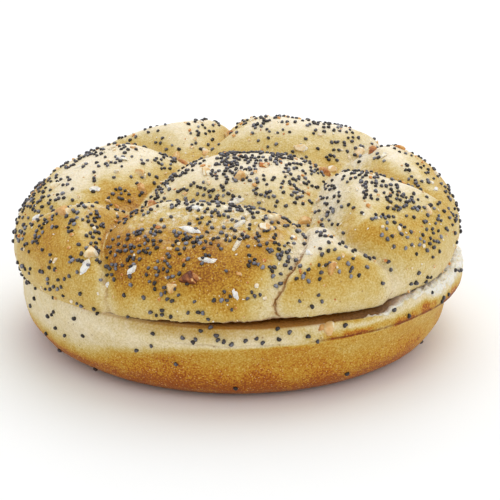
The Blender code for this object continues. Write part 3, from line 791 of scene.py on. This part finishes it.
class Heel:
    """The heel's fine skin: its points, and what is known at each of them."""

    def __init__(self):
        turns = np.arange(HEEL_COLUMNS) * 360.0 / HEEL_COLUMNS
        stations = np.array(heel_stations(turns))
        plain_cut = stations[-1, 1].copy()
        stations[-1, 1] -= by_turn(turns, CUT_DROPS) * MM
        for weights, drops in ((SHOULDER_WEIGHTS, SHOULDER_DROPS), (RIM_WEIGHTS, RIM_DROPS)):
            stations[:, 1] -= np.outer(weights, by_turn(turns, drops)) * MM
        rows = [stations[0] * [[radius * MM / FOOT_FLAT_RADIUS], [1.0]] for radius in HEEL_FOOT_RINGS]
        steps = [-1.0] * len(rows)
        before, after = 2 * stations[0] - stations[1], 2 * stations[-1] - stations[-2]
        padded = np.concatenate([[before], stations, [after]])
        for index, count in enumerate(HEEL_STEPS):
            knots = padded[index:index + 4]
            for t in np.arange(count) / count:
                straight = knots[1] + (knots[2] - knots[1]) * t
                rows.append(0.5 * straight + 0.5 * curve_point(knots, t))
                steps.append(index + t)
        for inset in (0.0,) + HEEL_CUT_RINGS:
            height = plain_cut + (stations[-1][1] - plain_cut) * math.exp(-inset / 3.0)
            rows.append(np.stack([stations[-1][0] - inset * MM, height]))
            steps.append(len(HEEL_STEPS) + inset)
        rows = np.array(rows)
        self.station = np.repeat(steps, HEEL_COLUMNS)
        self.turn = np.tile(turns, len(rows))
        flat = raised(on_plan(self.turn, rows[:, 0].ravel()), np.maximum(rows[:, 1], 0.0).ravel())
        self.rings = np.arange(len(flat)).reshape(len(rows), HEEL_COLUMNS)
        self.faces = np.concatenate([ring_faces(a, b) for a, b in zip(self.rings, self.rings[1:])])
        self.torn = by_turn(self.turn, TORN_SHARES)
        self.crumb = self.crumb_share()
        self.dashes = self.dashed_crack(flat)
        self.points = flat + vertex_normals(flat, self.faces) * self.relief(flat)[:, None]
        self.points[:, 2] = np.clip(self.points[:, 2], 0.0, np.tile(plain_cut, len(rows)))
        self.normals = vertex_normals(self.points, self.faces)

    def crumb_share(self):
        """1 on the torn crumb of the cut face and the bevel, 0 on the baked skin."""
        uneven = grains(on_band(self.turn), TORN_EDGE)
        edge = 10.8 - 2.2 * self.torn + uneven * (0.15 + 1.2 * self.torn)
        return ease(self.station, edge, edge + 0.45)

    def dashed_crack(self, flat):
        """1 in the broken crack that runs along the tin's rim at the front."""
        band = ease(self.station, 6.0, 7.0) * (1.0 - ease(self.station, 8.0, 9.0))
        line = self.station - 7.2 - 0.35 * grain(flat, 3.0 * MM, 26)
        broken = np.clip(grain(flat, 5.0 * MM, 27) + 0.2, 0.0, 1.0) * turn_hump(self.turn, 8.0, 40.0)
        return band * broken * bell(line, 0.15)

    def relief(self, flat):
        """Height of the fine grain, the crack and the torn crumb over the plain profile."""
        side = ease(self.station, 0.5, 2.0)
        height = side * grains(flat, HEEL_WRINKLES)
        height += side * 0.03 * grain(flat, 0.8 * MM, 23)
        torn = grains(flat * [1.0, 1.0, 0.45], TORN_TUFTS) - 0.20
        height += self.crumb * (1.0 - ease(self.station, 10.6, 11.0)) * torn
        height -= 0.4 * self.dashes
        return height * MM

    def browning_and_painted_light(self):
        """How dark the heel is: baked pale on the band, golden on the tin's side and dark at the foot, with a
        painted shadow under the slit and a painted lift on the shaded foot at the right.
        """
        ring = on_band(self.turn)
        edge = by_turn(self.turn, TIN_EDGE) + grains(ring, TIN_EDGE_WANDER)
        soft = 0.25 + 1.1 * (1.0 - turn_hump(self.turn, 60.0, 90.0))
        tin = 1.0 - ease(self.station, edge - soft, edge + 0.3 * soft)
        foot = 1.0 - ease(self.station, 1.2, 4.8)
        upper = 8.9 + 0.5 * grain(ring, 3.5 * MM, 35)
        lip = ease(self.station, 6.5, 7.0) * (1.0 - ease(self.station, upper - 1.2, upper))
        blotch = np.clip(1.1 + 0.8 * grain(self.points, 2.2 * MM, 32), 0.5, 1.35)
        seared = ease(self.station, 8.3, 9.8) * turn_hump(self.turn, 28.0, 24.0)
        seared *= np.clip(0.8 + 1.2 * grain(self.points, 1.8 * MM, 38), 0.0, 1.3)
        # The front_shade term is a painted shadow of the crown's lip on the band under the slit
        baked_and_painted_light = 0.22 + 0.48 * tin + 0.36 * foot + 0.24 * self.front_shade() + 0.36 * seared
        baked_and_painted_light += 0.56 * lip * blotch * by_turn(self.turn, LIP_SHARES)
        baked_and_painted_light += 0.32 * (1.0 - ease(self.station, 1.2, 4.4)) * turn_hump(self.turn, -58.0, 34.0)
        # Paler at the right: on the foot this is painted light against the shade under the turned-down foot;
        # the tin side there is simply paler
        pale_foot, pale_tin = turn_hump(self.turn, 80.0, 60.0), turn_hump(self.turn, 100.0, 50.0)
        baked_and_painted_light -= 0.14 * foot * pale_foot + 0.14 * tin * pale_tin
        baked_and_painted_light += 0.08 * grain(self.points, 6.0 * MM, 33) * (0.3 + tin)
        return np.clip(baked_and_painted_light, 0.0, 1.0)

    def rim_line(self):
        """The thin dark line where the dough met the tin's rim, on the right."""
        wander = 0.10 * grain(on_band(self.turn), 4.0 * MM, 36)
        line = bell(self.station - 7.14 - wander, 0.22)
        beads = np.clip(1.1 + 1.2 * grain(self.points, 0.9 * MM, 34), 0.35, 1.0)
        return np.maximum(line * by_turn(self.turn, LIP_SHARES) * beads, 0.8 * self.dashes)

    def front_shade(self):
        """The painted soft shadow that the crown's lip casts on the band under the slit at the front left."""
        return ease(self.station, 7.2, 9.6) * turn_hump(self.turn, -10.0, 34.0)

    def shade(self):
        """The brown shade under the slit: soft on the band, deep at the edge of the cut."""
        start = 9.4 + 0.8 * self.torn
        deep = ease(self.station, start, start + 0.9) * by_turn(self.turn, SHADE_SHARES)
        return np.maximum(0.42 * self.front_shade(), deep)

    def hidden(self):
        """1 on the cut face inside the slit, 0 outside it."""
        start = 10.6 + 0.7 * self.torn
        return ease(self.station, start, start + 0.6)

    def seeding(self):
        """How thickly the poppy seeds lie."""
        weight = ease(self.station, 6.4, 7.2) * ease(self.station, 10.4, 9.6) + 0.03
        weight += 0.25 * (self.turn > 250.0) * ease(self.station, 2.0, 5.0)
        weight += 0.5 * turn_hump(self.turn, -62.0, 26.0) * ease(self.station, 1.5, 3.0)
        weight *= (self.station > 1.5) & (self.station < 10.5)
        weight *= np.clip(0.5 + 1.2 * grain(self.points, 5.0 * MM, 42), 0.1, 1.6)
        few, many = turn_hump(self.turn, 90.0, 65.0), turn_hump(self.turn, 6.0, 40.0)
        return weight * (1.0 - 0.75 * few + many)

    def build(self, material):
        """The heel closed by a fan at each end, as one object."""
        count = len(self.points)
        points = np.concatenate([self.points, [[0.0, 0.0, 0.0], [0.0, 0.0, HEEL_CUT_HEIGHT]]])
        fans = np.concatenate([fan_faces(self.rings[0], count), fan_faces(self.rings[-1], count + 1)])
        known = {
            "browning_and_painted_light": (self.browning_and_painted_light(), 0.8, 0.0),
            "rim": (self.rim_line(), 0.0, 0.0),
            "shade": (self.shade(), 0.0, 0.0),
            "crumb": (self.crumb, 0.0, 1.0),
            "hidden": (self.hidden(), 0.0, 1.0),
        }
        values = {key: np.append(skin, ends) for key, (skin, *ends) in known.items()}
        return face_outward(mesh_object("heel_skin", points, [self.faces, fans], values, material))


def ball(subdivisions):
    """Points and triangles of a unit icosphere."""
    mesh = bmesh.new()
    bmesh.ops.create_icosphere(mesh, subdivisions=subdivisions, radius=1.0)
    points = np.array([vertex.co[:] for vertex in mesh.verts])
    faces = np.array([[vertex.index for vertex in face.verts] for face in mesh.faces])
    mesh.free()
    return points / np.linalg.norm(points, axis=1)[:, None], faces


def cut_pebble(directions, normals, reaches, sharpness, broken=()):
    """Directions pushed out to the nearest of some planes, with softened edges between them.

    The fourth value of each point is 1 on the planes where the piece is broken open."""
    closeness = np.maximum(directions @ normals.T, 1e-3) / reaches
    out = (closeness**sharpness).sum(axis=1) ** (-1.0 / sharpness)
    points = directions * np.minimum(out, 0.62)[:, None]
    inner = np.isin(closeness.argmax(axis=1), broken).astype(float)
    return np.column_stack([points, inner])


def groat_shape(directions, rng):
    """A three-sided hulled buckwheat kernel, broken open at one end."""
    sides = [(math.cos(a), math.sin(a), 0.3) for a in (0.4, 2.5, 4.6)]
    planes = np.array(sides + [(0.1, 0.0, -1.0), (0.0, 0.1, 1.0), (1.0, -0.3, 0.5), (-0.8, 0.5, 0.3)])
    planes = unit(planes + 0.35 * (rng.random(planes.shape) - 0.5))
    reaches = np.array([0.38, 0.42, 0.36, 0.42, 0.46, 0.48, 0.44]) * (0.85 + 0.25 * rng.random(len(planes)))
    return roughened(cut_pebble(directions, planes, reaches, 16.0, (5,)), 0.05, rng)


def flake_shape(directions, rng):
    """A flat split shard of white kernel, with uneven sides."""
    around = np.arange(5) * math.tau / 5 + 1.0 * (rng.random(5) - 0.5)
    rim = np.stack([np.cos(around), np.sin(around), 0.9 * (rng.random(5) - 0.5)], axis=-1)
    planes = unit(np.concatenate([rim, [(0.1, 0.2, 1.0), (-0.2, 0.1, -1.0), (0.5, -0.4, 1.0)]]))
    reaches = np.concatenate([0.26 + 0.26 * rng.random(5), [0.42, 0.42, 0.40]])
    return roughened(cut_pebble(directions, planes, reaches, 30.0), 0.06, rng)


def crumb_shape(directions, rng):
    """A broken bit with uneven facets."""
    axes = np.concatenate([np.eye(3), -np.eye(3), rng.normal(size=(4, 3))])
    planes = unit(axes + 0.8 * (rng.random(axes.shape) - 0.5))
    reaches = 0.32 + 0.26 * rng.random(len(planes))
    return roughened(cut_pebble(directions, planes, reaches, 18.0, (0, 7)), 0.06, rng)


def roughened(shape, amount, rng):
    """A shape with small dents and ridges."""
    shift = 40.0 * rng.random()
    height = grain(shape[:, :3] + shift, 0.35, 50) + 0.5 * grain(shape[:, :3] + shift, 0.16, 51)
    shape[:, :3] *= 1.0 + amount * height[:, None]
    return shape


def seed_shape(directions, rng):
    """A kidney-shaped seed with a dent in one side, its top painted lighter and its underside darker as if
    lit from above.
    """
    shape = directions * 0.5
    dent = np.exp(-((directions[:, 1] + 1.0) ** 2 + (directions[:, 0] * 0.9) ** 2) / 0.35)
    shape[:, 1] += 0.17 * dent
    shape[:, 1] -= 0.22 * (shape[:, 0] ** 2 - 0.1)
    shape *= 1.0 + 0.06 * (rng.random((len(shape), 1)) - 0.5)
    # The fourth value paints a highlight on the seed's top and shade underneath
    return np.column_stack([shape, 0.1 - 0.75 * directions[:, 2]])


def piece_frame(normal, spin, lean):
    """Axes of a piece that lies on a skin: along, up the slope and out, with a spin in degrees."""
    out = Vector(normal + lean).normalized()
    along = Vector((0.0, 0.0, 1.0)).cross(out)
    along = along.normalized() if along.length > 0.05 else Vector((1.0, 0.0, 0.0))
    up = out.cross(along)
    turned = Matrix.Rotation(math.radians(spin), 3, out)
    return np.array([turned @ along, turned @ up, out])


def joined(name, shapes, faces, pieces, material, rng, sunk=0.14, lean=0.2):
    """One object from many pieces: each a random shape with its place, size, spin and tone."""
    points, tones = [], []
    for (point, normal), size, spin, tone in pieces:
        shape = shapes[rng.integers(len(shapes))]
        axes = piece_frame(normal, spin, lean * (rng.random(3) - 0.5))
        points.append(shape[:, :3] * size @ axes + point + axes[2] * size[2] * (0.32 - sunk))
        # The fourth value pales the broken faces of the chips; on the seeds it paints a highlight on the top
        # and shade underneath
        tones.append(tone - 0.45 * shape[:, 3])
    every = np.concatenate([faces + len(shapes[0]) * index for index in range(len(points))])
    return mesh_object(name, np.concatenate(points), [every], {"tone": np.concatenate(tones)}, material)


def thinned(points, normals, spacing, count, taken):
    """The first count places that keep the spacing to each other and to the taken ones."""
    def cell(point):
        return tuple(np.floor(point / spacing).astype(int))

    seen = {}
    for point in taken:
        seen.setdefault(cell(point), []).append(point)
    kept = []
    near = list(itertools.product((-1, 0, 1), repeat=3))
    for point, normal in zip(points, normals):
        key = cell(point)
        close = (other for step in near for other in seen.get(tuple(np.add(key, step)), ()))
        if any(np.linalg.norm(point - other) < spacing for other in close):
            continue
        seen.setdefault(key, []).append(point)
        kept.append((point, normal))
        if len(kept) == count:
            break
    return kept


def strewn(skin, weight, pool, spacing, count, taken, rng):
    """Random places on a skin's faces, as often as the weight says, that keep their spacing."""
    corners = skin.points[skin.faces]
    area = np.linalg.norm(np.cross(corners[:, 2] - corners[:, 0], corners[:, 3] - corners[:, 1]), axis=1)
    chance = area * weight[skin.faces].mean(axis=1)
    picked = rng.choice(len(chance), pool, p=chance / chance.sum())
    u, v = rng.random((2, pool, 1))
    a, b, c, d = (corners[picked, corner] for corner in range(4))
    points = (a * (1 - u) + b * u) * (1 - v) + (d * (1 - u) + c * u) * v
    return thinned(points, skin.normals[skin.faces[picked, 0]], spacing, count, taken)


def varied(places, usual, least, spread, draws, rng):
    """Random sizes and spins for the pieces at some places, with 1 or 3 draws for a size."""
    sizes = [np.array(usual) * MM * (least + spread * rng.random(draws)) for _ in places]
    return sizes, 360.0 * rng.random(len(places))


def linear(red, green, blue):
    """A colour of 0 to 255 as the shader's linear values."""
    parts = [value / 255.0 for value in (red, green, blue)]
    return tuple(p / 12.92 if p <= 0.04045 else ((p + 0.055) / 1.055) ** 2.4 for p in parts) + (1.0,)


class Look:
    """A material in the making, with its shader and its place coordinates."""

    def __init__(self, name, roughness):
        self.material = bpy.data.materials.new(name)
        self.material.use_nodes = True
        self.tree = self.material.node_tree
        self.shader = self.tree.nodes["Principled BSDF"]
        self.where = self.node("TexCoord", {}).outputs["Object"]
        self.fill(self.shader, {"Roughness": roughness})

    def fill(self, made, inputs):
        """Set or link a node's inputs."""
        for key, value in inputs.items():
            if isinstance(value, bpy.types.NodeSocket):
                self.tree.links.new(value, made.inputs[key])
            else:
                made.inputs[key].default_value = value
        return made

    def node(self, kind, inputs, **settings):
        """A shader node with its settings and inputs."""
        made = self.tree.nodes.new("ShaderNode" + kind)
        for key, value in settings.items():
            setattr(made, key, value)
        return self.fill(made, inputs)

    def ramp(self, factor, stops):
        """Colour from a factor, by stops of position and colour."""
        made = self.node("ValToRGB", {"Fac": factor})
        band = made.color_ramp
        while len(band.elements) < len(stops):
            band.elements.new(0.5)
        for element, (position, *colour) in zip(band.elements, stops):
            element.position = position
            element.color = linear(*colour)
        return made.outputs["Color"]

    def maths(self, operation, a, b=0.0, clamp=False):
        """A sum of two values."""
        return self.node("Math", {0: a, 1: b}, operation=operation, use_clamp=clamp).outputs[0]

    def times(self, a, b):
        """The product of two values."""
        return self.maths("MULTIPLY", a, b)

    def swing(self, noise_value, amount):
        """A noise value moved to swing round zero, times an amount."""
        return self.times(self.maths("SUBTRACT", noise_value, 0.5), amount)

    def span(self, value, low, high, first, last):
        """A value that goes from first to last while another goes from low to high."""
        return self.node("MapRange", {0: value, 1: low, 2: high, 3: first, 4: last}).outputs[0]

    def mixed(self, factor, a, b, blend="MIX"):
        """Two colours mixed by a factor."""
        return self.node("Mix", {0: factor, 6: a, 7: b}, data_type="RGBA", blend_type=blend).outputs[2]

    def noise(self, size_mm, detail=2.0, rough=0.5):
        """Noise from 0 to 1 with humps of about the given size."""
        inputs = {"Vector": self.where, "Scale": 1000.0 / size_mm, "Detail": detail, "Roughness": rough}
        return self.node("TexNoise", inputs).outputs["Fac"]

    def value(self, name):
        """A value kept at the mesh's points."""
        return self.node("Attribute", {}, attribute_name=name).outputs["Fac"]

    def dots(self, size_mm, share, softness):
        """1 inside round dots, one in each cell of the given size, over the given share of its width."""
        inputs = {"Vector": self.where, "Scale": 1000.0 / size_mm, "Randomness": 1.0}
        near = self.node("TexVoronoi", inputs, feature="F1").outputs["Distance"]
        return self.span(near, share, share + softness, 1.0, 0.0)

    def finish(self, colour, layers, softness, radius_mm):
        """Set the colour, layers of bump with their depths in mm, and light that goes a little way in."""
        bump = {}
        for height, depth_mm in layers:
            inputs = {"Height": height, "Strength": 1.0, "Distance": depth_mm * MM}
            bump = {"Normal": self.node("Bump", inputs | bump).outputs["Normal"]}
        self.fill(self.shader, bump | {
            "Base Color": colour,
            "Subsurface Weight": softness,
            "Subsurface Radius": (1.0, 0.78, 0.45),
            "Subsurface Scale": radius_mm * MM,
        })
        return self.material

    def gloss(self, level, sheen, dull):
        """A weak gloss, and the pale sheen of a floury skin seen at a low angle, less where it is dull."""
        clear = self.maths("SUBTRACT", 1.0, dull, clamp=True)
        self.fill(self.shader, {
            "Specular IOR Level": self.times(clear, level),
            "Sheen Weight": self.times(clear, sheen),
            "Sheen Roughness": 0.4,
            "Sheen Tint": (1.0, 0.96, 0.88, 1.0),
        })


def baked_colour(look, stops, crumb_stops, grain_share):
    """The colour of a baked skin: its tone from the attributes, sandy grain, pores and sparkles, and its
    crumb, painted brown as shade where it lies hidden in the slit.
    """
    sand = look.noise(0.38, 1.0)
    medium = look.noise(1.6, 3.0, 0.6)
    browning_and_painted_light = look.value("browning_and_painted_light")
    factor = browning_and_painted_light
    share = look.maths("ADD", look.times(browning_and_painted_light, grain_share), 0.08)
    for noise_value, amount in ((medium, 0.28), (look.noise(7.0), 0.20), (sand, share)):
        factor = look.maths("ADD", factor, look.swing(noise_value, amount))
    shade = look.span(sand, 0.32, 0.68, 1.05, 0.93)
    grey = look.node("CombineColor", {0: shade, 1: shade, 2: shade}).outputs[0]
    colour = look.mixed(1.0, look.ramp(factor, stops), grey, "MULTIPLY")
    colour = look.mixed(look.times(look.dots(2.4, 0.055, 0.05), 0.6), colour, linear(130, 76, 28))
    shine = look.times(look.dots(0.8, 0.11, 0.09), look.maths("ADD", look.times(browning_and_painted_light, 0.45), 0.1))
    colour = look.mixed(shine, colour, linear(250, 226, 164))
    tufts = look.noise(0.75, 4.0, 0.7)
    # Crumb hidden in the slit is painted brown as the shade inside it
    crumb = look.mixed(look.value("hidden"), look.ramp(tufts, crumb_stops), linear(160, 96, 24))
    fluff = look.times(tufts, look.value("crumb"))
    return look.mixed(look.value("crumb"), colour, crumb), sand, medium, fluff


def crust_material():
    """The crown's skin: pale in the creases, golden brown on the lobes, with a fine sandy grain."""
    look = Look("crown_crust", 0.52)
    colour, sand, medium, fluff = baked_colour(look, CRUST_STOPS, CROWN_CRUMB_STOPS, 0.8)
    jag = look.swing(look.noise(1.0, 3.0, 0.7), 1.6)
    near = look.maths("ABSOLUTE", look.maths("ADD", look.value("gap"), jag))
    border = look.times(look.value("split"), look.span(near, 0.25, 0.95, 0.6, 0.0))
    line = look.times(look.value("split"), look.span(near, 0.12, 0.42, 1.0, 0.0))
    # Flour dust mixed towards white; on the tops and lit crests it is also a painted highlight
    dust_and_highlight = look.times(look.span(look.noise(1.3, 4.0, 0.65), 0.46, 0.60, 0.0, 0.8), look.value("flour_and_highlight"))
    for factor, tint in ((border, (186, 130, 34)), (line, (132, 74, 6)), (dust_and_highlight, (250, 239, 216))):
        colour = look.mixed(factor, colour, linear(*tint))
    closed = look.maths("SUBTRACT", 1.0, line)
    look.gloss(0.28, 0.06, border)
    layers = ((sand, 0.09), (medium, 0.14), (dust_and_highlight, 0.22), (fluff, 0.25), (closed, 0.25))
    return look.finish(colour, layers, 0.10, 1.0)


def heel_material():
    """The heel's skin: a pale band, grainy golden sides, a dark foot and torn crumb at the cut."""
    look = Look("heel_crust", 0.6)
    colour, sand, medium, fluff = baked_colour(look, TIN_STOPS, HEEL_CRUMB_STOPS, 0.9)
    colour = look.mixed(look.times(look.value("rim"), 0.95), colour, linear(112, 50, 16))
    colour = look.mixed(look.times(look.value("shade"), 0.9), colour, linear(150, 96, 30))
    look.gloss(0.2, 0.04, look.maths("MAXIMUM", look.value("shade"), look.value("hidden")))
    return look.finish(colour, ((sand, 0.09), (medium, 0.12), (fluff, 0.55)), 0.10, 1.2)


def toned_material(name, stops, roughness, grain_mm, bump_mm, softness, mottling=0.9):
    """A material whose colour follows each piece's tone, with a mottled surface."""
    look = Look(name, roughness)
    mottle = look.noise(grain_mm, 3.0, 0.6)
    factor = look.maths("ADD", look.value("tone"), look.swing(mottle, mottling))
    return look.finish(look.ramp(factor, stops), ((mottle, bump_mm),), softness, 0.8)


def dress(piece, slot_name, *nodes):
    """Fix a piece to the bun and hide the solids that it stands for. The slot name is not used."""
    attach(piece, "root")
    if nodes:
        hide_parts(*nodes)


def add_chips(kind, places, shapes, faces, material, rng):
    """The chips of one kind: those with a mark as it says, the rest with sizes near the usual one."""
    usual, marks = TOPPING_SIZES[kind], CROWN_MARKS[kind]
    scale, thickness, shards = CHIP_KINDS[kind]
    pieces = []
    for index, (point, normal) in enumerate(places):
        if index < len(marks):
            length, width, spin, tone = marks[index][2:]
            size = (length * MM, width * MM, min(width * 0.8 * MM, usual[2] * thickness))
        else:
            size = np.array(usual) * (0.55 + 0.35 * rng.random(3))
            spin, tone = 360.0 * rng.random(), 0.1 + 0.5 * rng.random()
        size = np.array(size) * scale
        pieces.append(((point, normal), size, spin, tone))
        for share in shards:
            along = piece_frame(normal, spin, 0.0)[0] * np.sign(share)
            spot = point + along * (0.28 + 0.12 * rng.random()) * size[0]
            shard = size * abs(share) * (0.9 + 0.3 * rng.random(3))
            turned = spin + 70.0 * (rng.random() - 0.5)
            shade = np.clip(tone + 0.5 * (rng.random() - 0.6), 0.0, 1.0)
            pieces.append(((spot, normal), shard, turned, shade))
    dress(joined("crown_" + kind + "s", shapes, faces, pieces, material, rng), "chips")


def make_crown():
    """The crown's skin with all that lies on it."""
    crown = Crown()
    dress(crown.build(crust_material()), "crust", "crown")
    places = crown_places(np.random.default_rng(7))
    turned = np.array(CROWN_MATRIX)[:3, :3]
    rng = np.random.default_rng(21)
    directions, faces = ball(4)
    taken = []
    for kind, maker, name, stops, roughness, grain_mm, softness in (
            ("groat", groat_shape, "buckwheat_groat", GROAT_STOPS, 0.5, 1.2, 0.2),
            ("flake", flake_shape, "white_flake", FLAKE_STOPS, 0.55, 1.0, 0.3),
            ("crumb", crumb_shape, "seed_crumb", CRUMB_STOPS, 0.55, 1.0, 0.2)):
        look = toned_material(name, stops, roughness, grain_mm, 0.06, softness)
        shapes = [maker(directions, rng) for _ in range(8)]
        spots = [(moved(point[None], CROWN_MATRIX)[0], turned @ normal) for point, normal in places[kind]]
        add_chips(kind, spots, shapes, faces, look, rng)
        taken += [point for point, _ in spots]
    add_bits(crown, look, taken, rng)


def add_bits(crown, material, taken, rng):
    """Small broken bits, fine specks, and the poppy seeds, thickest in clumps and on the lobes' tops."""
    directions, faces = ball(2)
    weight = crown.seeding()
    places = strewn(crown, weight + 0.25, BIT_COUNT * 4, BIT_SPACING, BIT_COUNT, taken, rng)
    shapes = [crumb_shape(directions, rng) for _ in range(8)]
    sizes, spins = varied(places, BIT_SIZE, 0.55, 0.6, 3, rng)
    pieces = zip(places, sizes, spins, 0.12 + 0.62 * rng.random(len(places)) ** 1.2)
    dress(joined("crown_bits", shapes, faces, pieces, material, rng), "chips")
    taken += [point for point, _ in places]
    places = strewn(crown, weight + 0.25, SPECK_COUNT * 2, SPECK_SPACING, SPECK_COUNT, taken, rng)
    sizes, spins = varied(places, SPECK_SIZE, 0.6, 0.8, 3, rng)
    pieces = zip(places, sizes, spins, 0.85 * rng.random(len(places)) ** 1.4)
    dress(joined("crown_specks", shapes, faces, pieces, material, rng), "chips")
    places = strewn(crown, weight, POPPY_COUNT * 5, POPPY_SPACING, POPPY_COUNT, taken, rng)
    shapes = [seed_shape(directions, rng) for _ in range(5)]
    sizes, spins = varied(places, POPPY_SIZE, 0.85, 0.3, 1, rng)
    pieces = zip(places, sizes, spins, np.clip(rng.normal(0.40, 0.19, len(places)), 0.0, 0.9))
    look = toned_material("poppy_seed", POPPY_STOPS, 0.42, 0.22, 0.03, 0.0)
    dress(joined("crown_poppy_seeds", shapes, faces, pieces, look, rng, 0.1, 0.6), "poppy")


def make_heel():
    """The heel's skin with the few seeds and the broken chip that stick to it."""
    heel = Heel()
    dress(heel.build(heel_material()), "tin_crust", "heel")
    rng = np.random.default_rng(22)
    directions, faces = ball(3)
    shapes = [seed_shape(directions, rng) for _ in range(5)]
    count = HEEL_POPPY_COUNT
    places = strewn(heel, heel.seeding(), count * 3, HEEL_POPPY_SPACING, count, [], rng)
    sizes, spins = varied(places, POPPY_SIZE, 0.9, 0.3, 1, rng)
    seeds = zip(places, sizes, spins, 0.5 * rng.random(len(places)))
    chips = [groat_shape(directions, rng) for _ in range(2)]
    turn, rise, length, width, spin, tone = np.array(HEEL_MARKS).T
    points, normals, _ = skin_frames(heel_band, rise, turn)
    pieces = zip(zip(points, normals), np.stack([length, width, 0.7 * width], axis=-1) * MM, spin, tone)
    look = toned_material("heel_chip", GROAT_STOPS, 0.5, 1.2, 0.06, 0.2, 0.5)
    dress(joined("heel_chips", chips, faces, pieces, look, rng, 0.3), "chips")
    look = toned_material("heel_poppy_seed", POPPY_STOPS, 0.42, 0.22, 0.03, 0.0)
    dress(joined("heel_poppy_seeds", shapes, faces, seeds, look, rng, 0.1, 0.4), "poppy")


def placed(name, data):
    """An object with the given data, linked to the scene."""
    made = bpy.data.objects.new(name, data)
    bpy.context.scene.collection.objects.link(made)
    return made


def make_studio():
    """A pale floor, soft lights and a white surround."""
    data = bpy.data.meshes.new("floor")
    corners = ((-1, -1), (1, -1), (1, 1), (-1, 1))
    data.from_pydata([(x * FLOOR_REACH, y * FLOOR_REACH, 0.0) for x, y in corners], [], [(0, 1, 2, 3)])
    look = Look("floor_white", 0.9)
    look.fill(look.shader, {"Base Color": FLOOR_COLOUR})
    data.materials.append(look.material)
    floor = placed("floor", data)
    floor.location.z = -FLOOR_DROP
    world = bpy.data.worlds.new("surround")
    world.use_nodes = True
    world.node_tree.nodes["Background"].inputs["Color"].default_value = (1.0, 1.0, 1.0, 1.0)
    world.node_tree.nodes["Background"].inputs["Strength"].default_value = SURROUND_LIGHT
    bpy.context.scene.world = world
    bpy.context.scene.view_settings.view_transform = "Standard"
    for name, place, width, power in LIGHTS:
        data = bpy.data.lights.new(name, "AREA")
        data.shape = "SQUARE"
        data.size = width
        data.energy = power
        lamp = placed(name, data)
        lamp.location = place
        lamp.rotation_euler = (Vector((0.0, 0.0, 0.02)) - Vector(place)).to_track_quat("-Z", "Y").to_euler()


def make_camera():
    """The photograph's camera, aimed so that the origin falls on its pixel without any shift."""
    rise = math.radians(CAMERA_ELEVATION)
    focal = PIXELS_PER_MM * CAMERA_DISTANCE / MM
    right, down = ((pixel - PICTURE_PIXELS / 2) / focal for pixel in ORIGIN_PIXEL)
    data = bpy.data.cameras.new("camera")
    data.sensor_width = SENSOR_WIDTH
    data.lens = focal / PICTURE_PIXELS * SENSOR_WIDTH
    data.clip_start = 0.01
    data.clip_end = 20.0
    camera = placed("camera", data)
    camera.location = (0.0, -CAMERA_DISTANCE * math.cos(rise), CAMERA_DISTANCE * math.sin(rise))
    camera.rotation_euler = (math.pi / 2 - rise + math.atan(down), 0.0, math.atan(right))
    bpy.context.scene.camera = camera


make_camera()
make_crown()
make_heel()
make_studio()
